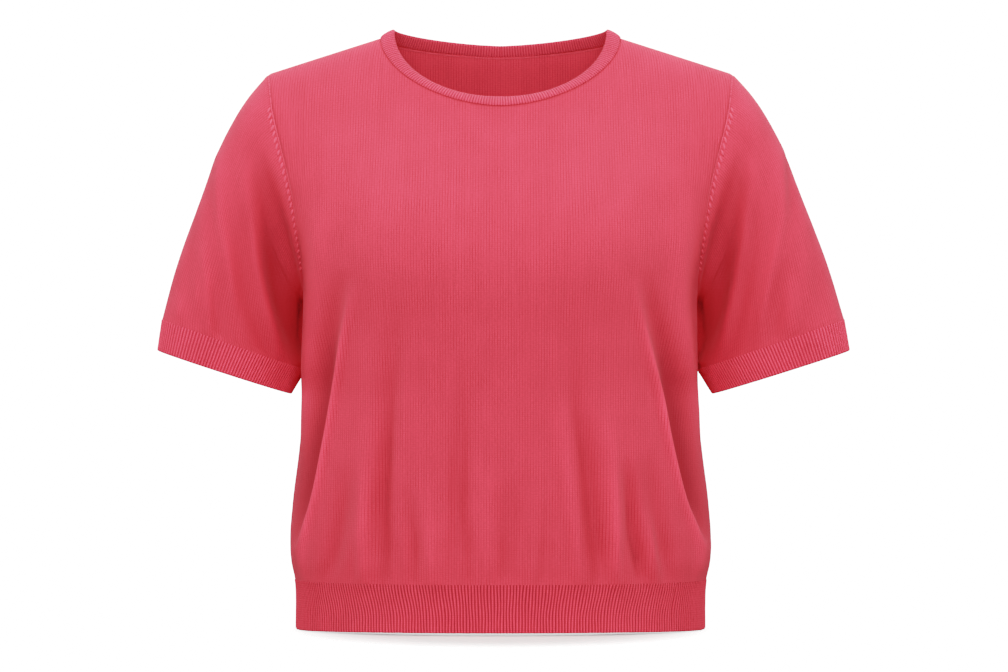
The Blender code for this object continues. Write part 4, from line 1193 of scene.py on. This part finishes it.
def painted_fold_shade(tree):
    """Painted shade and light: the knit is drawn paler over a fold's ridge and darker in its
    trough,
    2.2% for each millimetre of the height stored with the points."""
    folds = node(tree, "ShaderNodeAttribute", attribute_name="fold_height").outputs["Fac"]
    return spread(tree, folds, -30.0, 16.0, 0.34, 1.352)


def course_loops(tree, up, slanting, slant, beat):
    """1 on the crest of each course and lower between, slanting with the legs of its stitches."""
    row = sums(tree, "DIVIDE", up, COURSE_PITCH)
    turn = sums(tree, "MULTIPLY_ADD", slanting, slant, row)
    wave = sums(tree, "COSINE", sums(tree, "MULTIPLY", turn, 2 * math.pi))
    return sums(tree, "MULTIPLY_ADD", wave, beat, 1 - beat)


def finish_yarn(tree, shader, colour, height, strength, relief):
    """Sets the colour, and bumps of the given height in millimetres."""
    bump = first(tree, "ShaderNodeBump",
                 {"Strength": strength, "Distance": relief * MM, "Height": height})
    tree.links.new(colour, shader.inputs["Base Color"])
    tree.links.new(bump, shader.inputs["Normal"])


def finish_knit(tree, shader, height, light, groove_shade, tone, relief):
    """Colour between the painted shade of the groove and the crest, times the streaks and the
    painted fold shade, and the stitches' bump.
    """
    between = mixed_colour(tree, height, groove_shade, light)
    both = sums(tree, "MULTIPLY", tone, painted_fold_shade(tree))
    finish_yarn(tree, shader, vectors(tree, "SCALE", between, Scale=both), height, 0.7, relief)


def mixed_colour(tree, factor, low, high):
    mix = {0: factor, 6: linear(low), 7: linear(high)}
    return node(tree, "ShaderNodeMix", mix, data_type="RGBA").outputs[2]


def new_material(name, **settings):
    """A material with its tree and its shader, whose inputs are set by name."""
    material = bpy.data.materials.new(name)
    material.use_nodes = True
    shader = material.node_tree.nodes["Principled BSDF"]
    for socket, value in settings.items():
        shader.inputs[socket.replace("_", " ")].default_value = value
    return material, material.node_tree, shader


def yarn_shader(name):
    """Matt combed yarn with a faint fuzz."""
    return new_material(name, Roughness=0.86, IOR=1.46, Specular_IOR_Level=0.35, Sheen_Weight=0.22,
                        Sheen_Roughness=0.5, Sheen_Tint=linear(FUZZ))


def plain_knit_material():
    """Combed cotton-viscose yarn in fine plain knit: columns of small Vs that show as upright
    lines, matt, with a groove between each column and the next, painted darker as shade."""
    material, tree, shader = yarn_shader("fine_plain_knit_combed_yarn")
    place, across, up = knit_places(tree, 0.5)
    part = sums(tree, "FRACT", sums(tree, "DIVIDE", across, WALE_PITCH))
    away = sums(tree, "ABSOLUTE", sums(tree, "SUBTRACT", part, 0.5))
    edge = sums(tree, "MULTIPLY", away, 2.0)
    legs = sums(tree, "SINE", sums(tree, "MULTIPLY", edge, math.pi))
    middle = sums(tree, "MULTIPLY_ADD", edge, -LEG_SHARE, LEG_SHARE)
    column = sums(tree, "MULTIPLY_ADD", legs, LEG_SHARE, middle)
    height = sums(tree, "MULTIPLY", column, course_loops(tree, up, edge, 0.7, 0.16))
    patches = noise(tree, place, 0.06)["Fac"]
    clear = spread(tree, patches, 0.36, 0.64, 0.35, 1.0)
    shown = first(tree, "ShaderNodeMix", {0: clear, 2: EVEN_KNIT, 3: height})
    finish_knit(tree, shader, shown, KNIT_LIGHT, KNIT_GROOVE_SHADE, streaks(tree, place), 0.35)
    return material


def rib_knit_material(name, light, groove_shade):
    """The same yarn in rib: each ridge is one column of Vs, and the grooves between are deeper in
    colour because light hardly reaches them."""
    material, tree, shader = yarn_shader(name)
    place, across, up = knit_places(tree, 0.35)
    angle = sums(tree, "MULTIPLY", sums(tree, "DIVIDE", across, RIB_PITCH), math.pi)
    ridge = sums(tree, "POWER", sums(tree, "ABSOLUTE", sums(tree, "COSINE", angle)), 0.9)
    height = sums(tree, "MULTIPLY", ridge, course_loops(tree, up, ridge, -0.6, 0.12))
    finish_knit(tree, shader, height, light, groove_shade, streaks(tree, place), 0.30)
    return material


def seam_yarn_material():
    """The same yarn in the transferred and linking stitches, twisted a little tighter."""
    material, tree, shader = yarn_shader("linking_stitches_combed_yarn")
    place = node(tree, "ShaderNodeTexCoord").outputs["Object"]
    strands = noise(tree, place, 1400.0)["Fac"]
    finish_yarn(tree, shader, mixed_colour(tree, strands, KNIT_LIGHT, THREAD), strands, 0.5, 0.15)
    return material


def floor_material():
    """Matt white studio paper, which shows in an oval and less under the hem, where the shadow is
    painted lighter.
    """
    material, tree, shader = new_material("matt_white_studio_paper", Roughness=0.95,
                                          Specular_IOR_Level=0.1)
    place = node(tree, "ShaderNodeTexCoord").outputs["Object"]
    pulp = noise(tree, place, 60.0, 3.0)["Fac"]
    tone = spread(tree, pulp, 0.0, 1.0, 0.985, 1.0)
    paper = vectors(tree, "SCALE", linear(FLOOR_WHITE)[:3], Scale=tone)
    tree.links.new(paper, shader.inputs["Base Color"])
    away = vectors(tree, "LENGTH", vectors(tree, "MULTIPLY", place, FLOOR_OVAL))
    cover = spread(tree, away, *FLOOR_FADE, FLOOR_COVER, 0.0, interpolation_type="SMOOTHSTEP")
    out = vectors(tree, "LENGTH", vectors(tree, "MULTIPLY_ADD", place, *HEM_OVAL))
    under = spread(tree, out, 0.82, 0.98, UNDER_HEM, 1.0)
    seen = sums(tree, "MULTIPLY", cover, under)
    sheet = first(tree, "ShaderNodeMixShader",
                  {0: seen, 1: first(tree, "ShaderNodeBsdfTransparent"), 2: shader.outputs[0]})
    tree.links.new(sheet, tree.nodes["Material Output"].inputs["Surface"])
    return material


# ================================================================ seams
def make_stitches(name, path, out, stitch, seed, closed=True):
    """Stitches along a path that lies on the cloth, with the directions out of it."""
    count = len(path)
    edges = [(step, (step + 1) % count) for step in range(count if closed else count - 1)]
    mesh = bpy.data.meshes.new(name)
    mesh.from_pydata((path * MM).tolist(), edges, [])
    set_values(mesh, "cloth_out", out)
    return worked(new_object(name, mesh, jumper), stitches_on_a_path, Pitch=stitch.pitch * MM,
                  Width=stitch.width * MM, Length=stitch.length * MM, Height=stitch.height * MM,
                  Lean=math.radians(stitch.lean), Seed=seed, Yarn=seam_yarn)


def make_marks(name, sleeve, mirror):
    """Fashioning marks down the front and back of one sleeve, a few millimetres from its seam."""
    points, normals, from_seam, _ = sleeve
    half = points.shape[1] // 2
    last = points.shape[1] - 1
    made = []
    for part, columns, lean in (("front", range(1, half), MARK.lean),
                                ("back", range(last, half, -1), -MARK.lean)):
        path, out = [], []
        for column in columns:
            line, lengths = points[:, column], from_seam[:, column]
            at = at_lengths(line, lengths, MARKS_FROM_SEAM)
            if MARKS_FOOT_Z < at[2] < MARKS_TOP_Z:
                path.append(at)
                out.append(normals[int(np.searchsorted(lengths, MARKS_FROM_SEAM)), column])
        path, out = np.array(path), np.array(out)
        path = mirrored(path + out * 0.05, mirror)
        stitch = MARK._replace(lean=-lean if mirror else lean)
        made.append(make_stitches(f"marks_{name}_{part}", path, mirrored(out, mirror), stitch,
                                  MARKS_SEED, closed=False))
    return made


def make_linking(name):
    """Chain of linking stitches that shows inside, just under the neckband."""
    seam, _, body_out = neck_loop(np.linspace(0, 1, 61))
    body_out = unit(body_out)
    below = unit(np.cross(around(seam), body_out))
    below *= np.sign(-below[:, 2:])
    path = seam + below * LINKING_BELOW - body_out * (BODY_WALL + 0.1)
    return make_stitches(name, path, -body_out, LINKING, LINKING_SEED)


# ================================================================ the jumper
jumper = bpy.data.collections.new("jumper_looks")
bpy.context.scene.collection.children.link(jumper)
plain_knit = plain_knit_material()
rib_knit = rib_knit_material("one_by_one_rib_knit_combed_yarn", RIB_LIGHT, RIB_GROOVE_SHADE)
narrow_rib = rib_knit_material("stretched_one_by_one_rib_knit_combed_yarn", KNIT_LIGHT, TRIM_GROOVE_SHADE)
seam_yarn = seam_yarn_material()
raise_ribs = rib_tree()
stitches_on_a_path = stitch_tree()

panels = {side: shaped_panel(side) for side in (FRONT, BACK)}
loop = armhole_loop(panels[FRONT][0], panels[BACK][0])
plain_loop = armhole_loop(panel_grid(FRONT), panel_grid(BACK))
body_out = armhole_loop(panels[FRONT][1], panels[BACK][1])
front_shares = 1 - UPPER_SHARES[::-1]
pieces = {}
joints = {FRONT: [], BACK: []}
ends = {FRONT: slice(UPPER_ROWS, None, -1), BACK: slice(UPPER_ROWS, None)}
for name, mirror in (("right", True), ("left", False)):
    sleeve = shaped_sleeve(name, plain_loop, front_shares)
    inward, toward_sleeve = mitre(plain_loop, body_out, sleeve[1][0])
    pieces["sleeve_" + name] = make_sleeve("knit_sleeve_" + name, sleeve, inward, toward_sleeve,
                                           mirror)
    pieces["cuff_rib_" + name] = make_cuff("rib_cuff_" + name, SPREAD[name], mirror)
    for side in (FRONT, BACK):
        joints[side].append((mirrored(closed_up(inward)[ends[side]], mirror),
                             mirrored(-closed_up(toward_sleeve)[ends[side]], mirror)))
    for made in make_marks(name, sleeve, mirror):
        pieces[made.name] = made
    overlock = "overlock_armhole_" + name
    pieces[overlock] = make_stitches(
        overlock, mirrored(plain_loop + inward * OVERLOCK_INSIDE, mirror),
        mirrored(unit(-inward), mirror), OVERLOCK, OVERLOCK_SEED)
pieces["front_panel"] = make_panel("knit_front", FRONT, panels[FRONT], joints[FRONT])
pieces["back_panel"] = make_panel("knit_back", BACK, panels[BACK], joints[BACK])
pieces["neckband"] = make_neckband("rib_neckband")
pieces["linking_neckband"] = make_linking("linking_neckband")
pieces["hem_rib_front"] = make_hem("rib_hem_front", FRONT)
pieces["hem_rib_back"] = make_hem("rib_hem_back", BACK)

for node_name in ("hem_rib_front", "hem_rib_back", "cuff_rib_left", "cuff_rib_right", "neckband"):
    rise = NECK_RIB_RISE if node_name == "neckband" else RIB_RISE
    knit = rib_knit if node_name.startswith("hem") else narrow_rib
    worked(pieces[node_name], raise_ribs, Rise=rise * MM, Unevenness=RIB_UNEVENNESS, Knit=knit)

for name, piece in pieces.items():
    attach(piece, "root")
    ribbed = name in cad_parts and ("rib" in name or name == "neckband")
    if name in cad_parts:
        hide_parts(name)

# Each piece's cut before it was sewn and filled out, in metres: width, length and area.
Cut = namedtuple("Cut", "width length area held hangs_from")
CUTS = {
    "front_panel": Cut(0.541, 0.529, 0.226, "draped", ["rib_neckband"]),
    "back_panel": Cut(0.487, 0.521, 0.216, "draped", ["rib_neckband"]),
    "sleeve_left": Cut(0.494, 0.244, 0.066, "draped", ["knit_front", "knit_back"]),
    "sleeve_right": Cut(0.494, 0.242, 0.066, "draped", ["knit_front", "knit_back"]),
    "neckband": Cut(0.573, 0.015, 0.0086, "stretched", ["knit_front", "knit_back"]),
    "hem_rib_front": Cut(0.478, 0.0445, 0.0212, "stretched", ["knit_front"]),
    "hem_rib_back": Cut(0.459, 0.0445, 0.0204, "stretched", ["knit_back"]),
    "cuff_rib_left": Cut(0.390, 0.0285, 0.0111, "stretched", ["knit_sleeve_left"]),
    "cuff_rib_right": Cut(0.386, 0.0285, 0.0110, "stretched", ["knit_sleeve_right"]),
}
for name, cut in CUTS.items():
    side = name.removeprefix("sleeve_")
    sewn_on = [piece for key, piece in pieces.items() if key not in CUTS and side in key]
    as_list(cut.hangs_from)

# ================================================================ studio
def make_floor():
    """Paper just under the hem."""
    reach, z = 3.0, (HEM_Z - HEM_SAG - 0.3) * MM
    corners = [(-reach, -reach, z), (reach, -reach, z), (reach, reach, z), (-reach, reach, z)]
    mesh = bpy.data.meshes.new("floor")
    mesh.from_pydata(corners, [], [(0, 1, 2, 3)])
    mesh.materials.append(floor_material())
    new_object("floor", mesh, bpy.context.scene.collection)


LIT_POINT = Vector((0, 0, -0.27))


def make_softbox(name, place, size, power):
    lamp = bpy.data.lights.new(name, "AREA")
    lamp.shape = "RECTANGLE"
    lamp.size, lamp.size_y = size
    lamp.energy = power
    light = new_object(name, lamp, bpy.context.scene.collection)
    light.location = place
    toward = LIT_POINT - light.location
    light.rotation_euler = toward.to_track_quat("-Z", "Y").to_euler()


def make_world():
    world = bpy.data.worlds.new("white_studio")
    world.use_nodes = True
    tree = world.node_tree
    tree.nodes.clear()
    seen = node(tree, "ShaderNodeLightPath").outputs["Is Camera Ray"]
    strength = spread(tree, seen, 0.0, 1.0, 0.09, 1.4)
    sky = first(tree, "ShaderNodeBackground", {"Color": (1, 1, 1, 1), "Strength": strength})
    node(tree, "ShaderNodeOutputWorld", {"Surface": sky})
    bpy.context.scene.world = world


# How the picture is developed: scene light to picture light, a soft S that opens the middle tones
# and holds back the lightest ones.
TONES = [(0.0, 0.0), (0.03, 0.015), (0.06, 0.041), (0.11, 0.100), (0.20, 0.255), (0.30, 0.395),
         (0.45, 0.553), (0.60, 0.650), (0.70, 0.718), (0.80, 0.764), (1.00, 0.860), (1.25, 1.0)]
LIGHTEST = 1.25
# In deep folds light bounces from red yarn to red yarn, so red falls off last.
DEEP_REDS = [(0.06, 0.12), (0.117, 0.195), (0.18, 0.232), (0.25, 0.265), (0.34, 0.345), (0.5, 0.5)]


def develop_picture():
    view = bpy.context.scene.view_settings
    view.view_transform = "Standard"
    view.use_curve_mapping = True
    curves = view.curve_mapping
    curves.white_level = (LIGHTEST, LIGHTEST, LIGHTEST)
    every = curves.curves[3]
    for light, shown in TONES[1:-1]:
        every.points.new(light / LIGHTEST, shown)
    for light, shown in DEEP_REDS:
        curves.curves[0].points.new(light, shown)
    curves.extend = "HORIZONTAL"
    curves.update()


SOFTBOXES = [
    ("front", (0, -3.6, 0.7), (2.6, 1.6), 100),
    ("overhead", (0, -0.9, 2.4), (2.6, 2.0), 27),
    ("overhead_behind", (0, 1.0, 2.3), (2.6, 1.6), 50),
    ("front_left", (-2.6, -2.4, 0.5), (1.6, 1.8), 30),
    ("front_right", (2.6, -2.4, 0.5), (1.6, 1.8), 30),
    ("rear", (0, 3.4, 0.9), (2.4, 1.6), 35),
    ("side_left", (-3.2, 0.3, -0.1), (0.9, 1.2), 32),
    ("side_right", (3.2, 0.3, -0.1), (0.9, 1.2), 32),
]
make_floor()
for softbox in SOFTBOXES:
    make_softbox(*softbox)
make_world()
camera = new_object("camera", bpy.data.cameras.new("camera"), bpy.context.scene.collection)
camera.data.lens = 158.7
camera.data.sensor_width = 36
camera.location = (0.00315, -4.0, -0.2736)
camera.rotation_euler = (math.pi / 2, 0, 0)
bpy.context.scene.camera = camera
develop_picture()
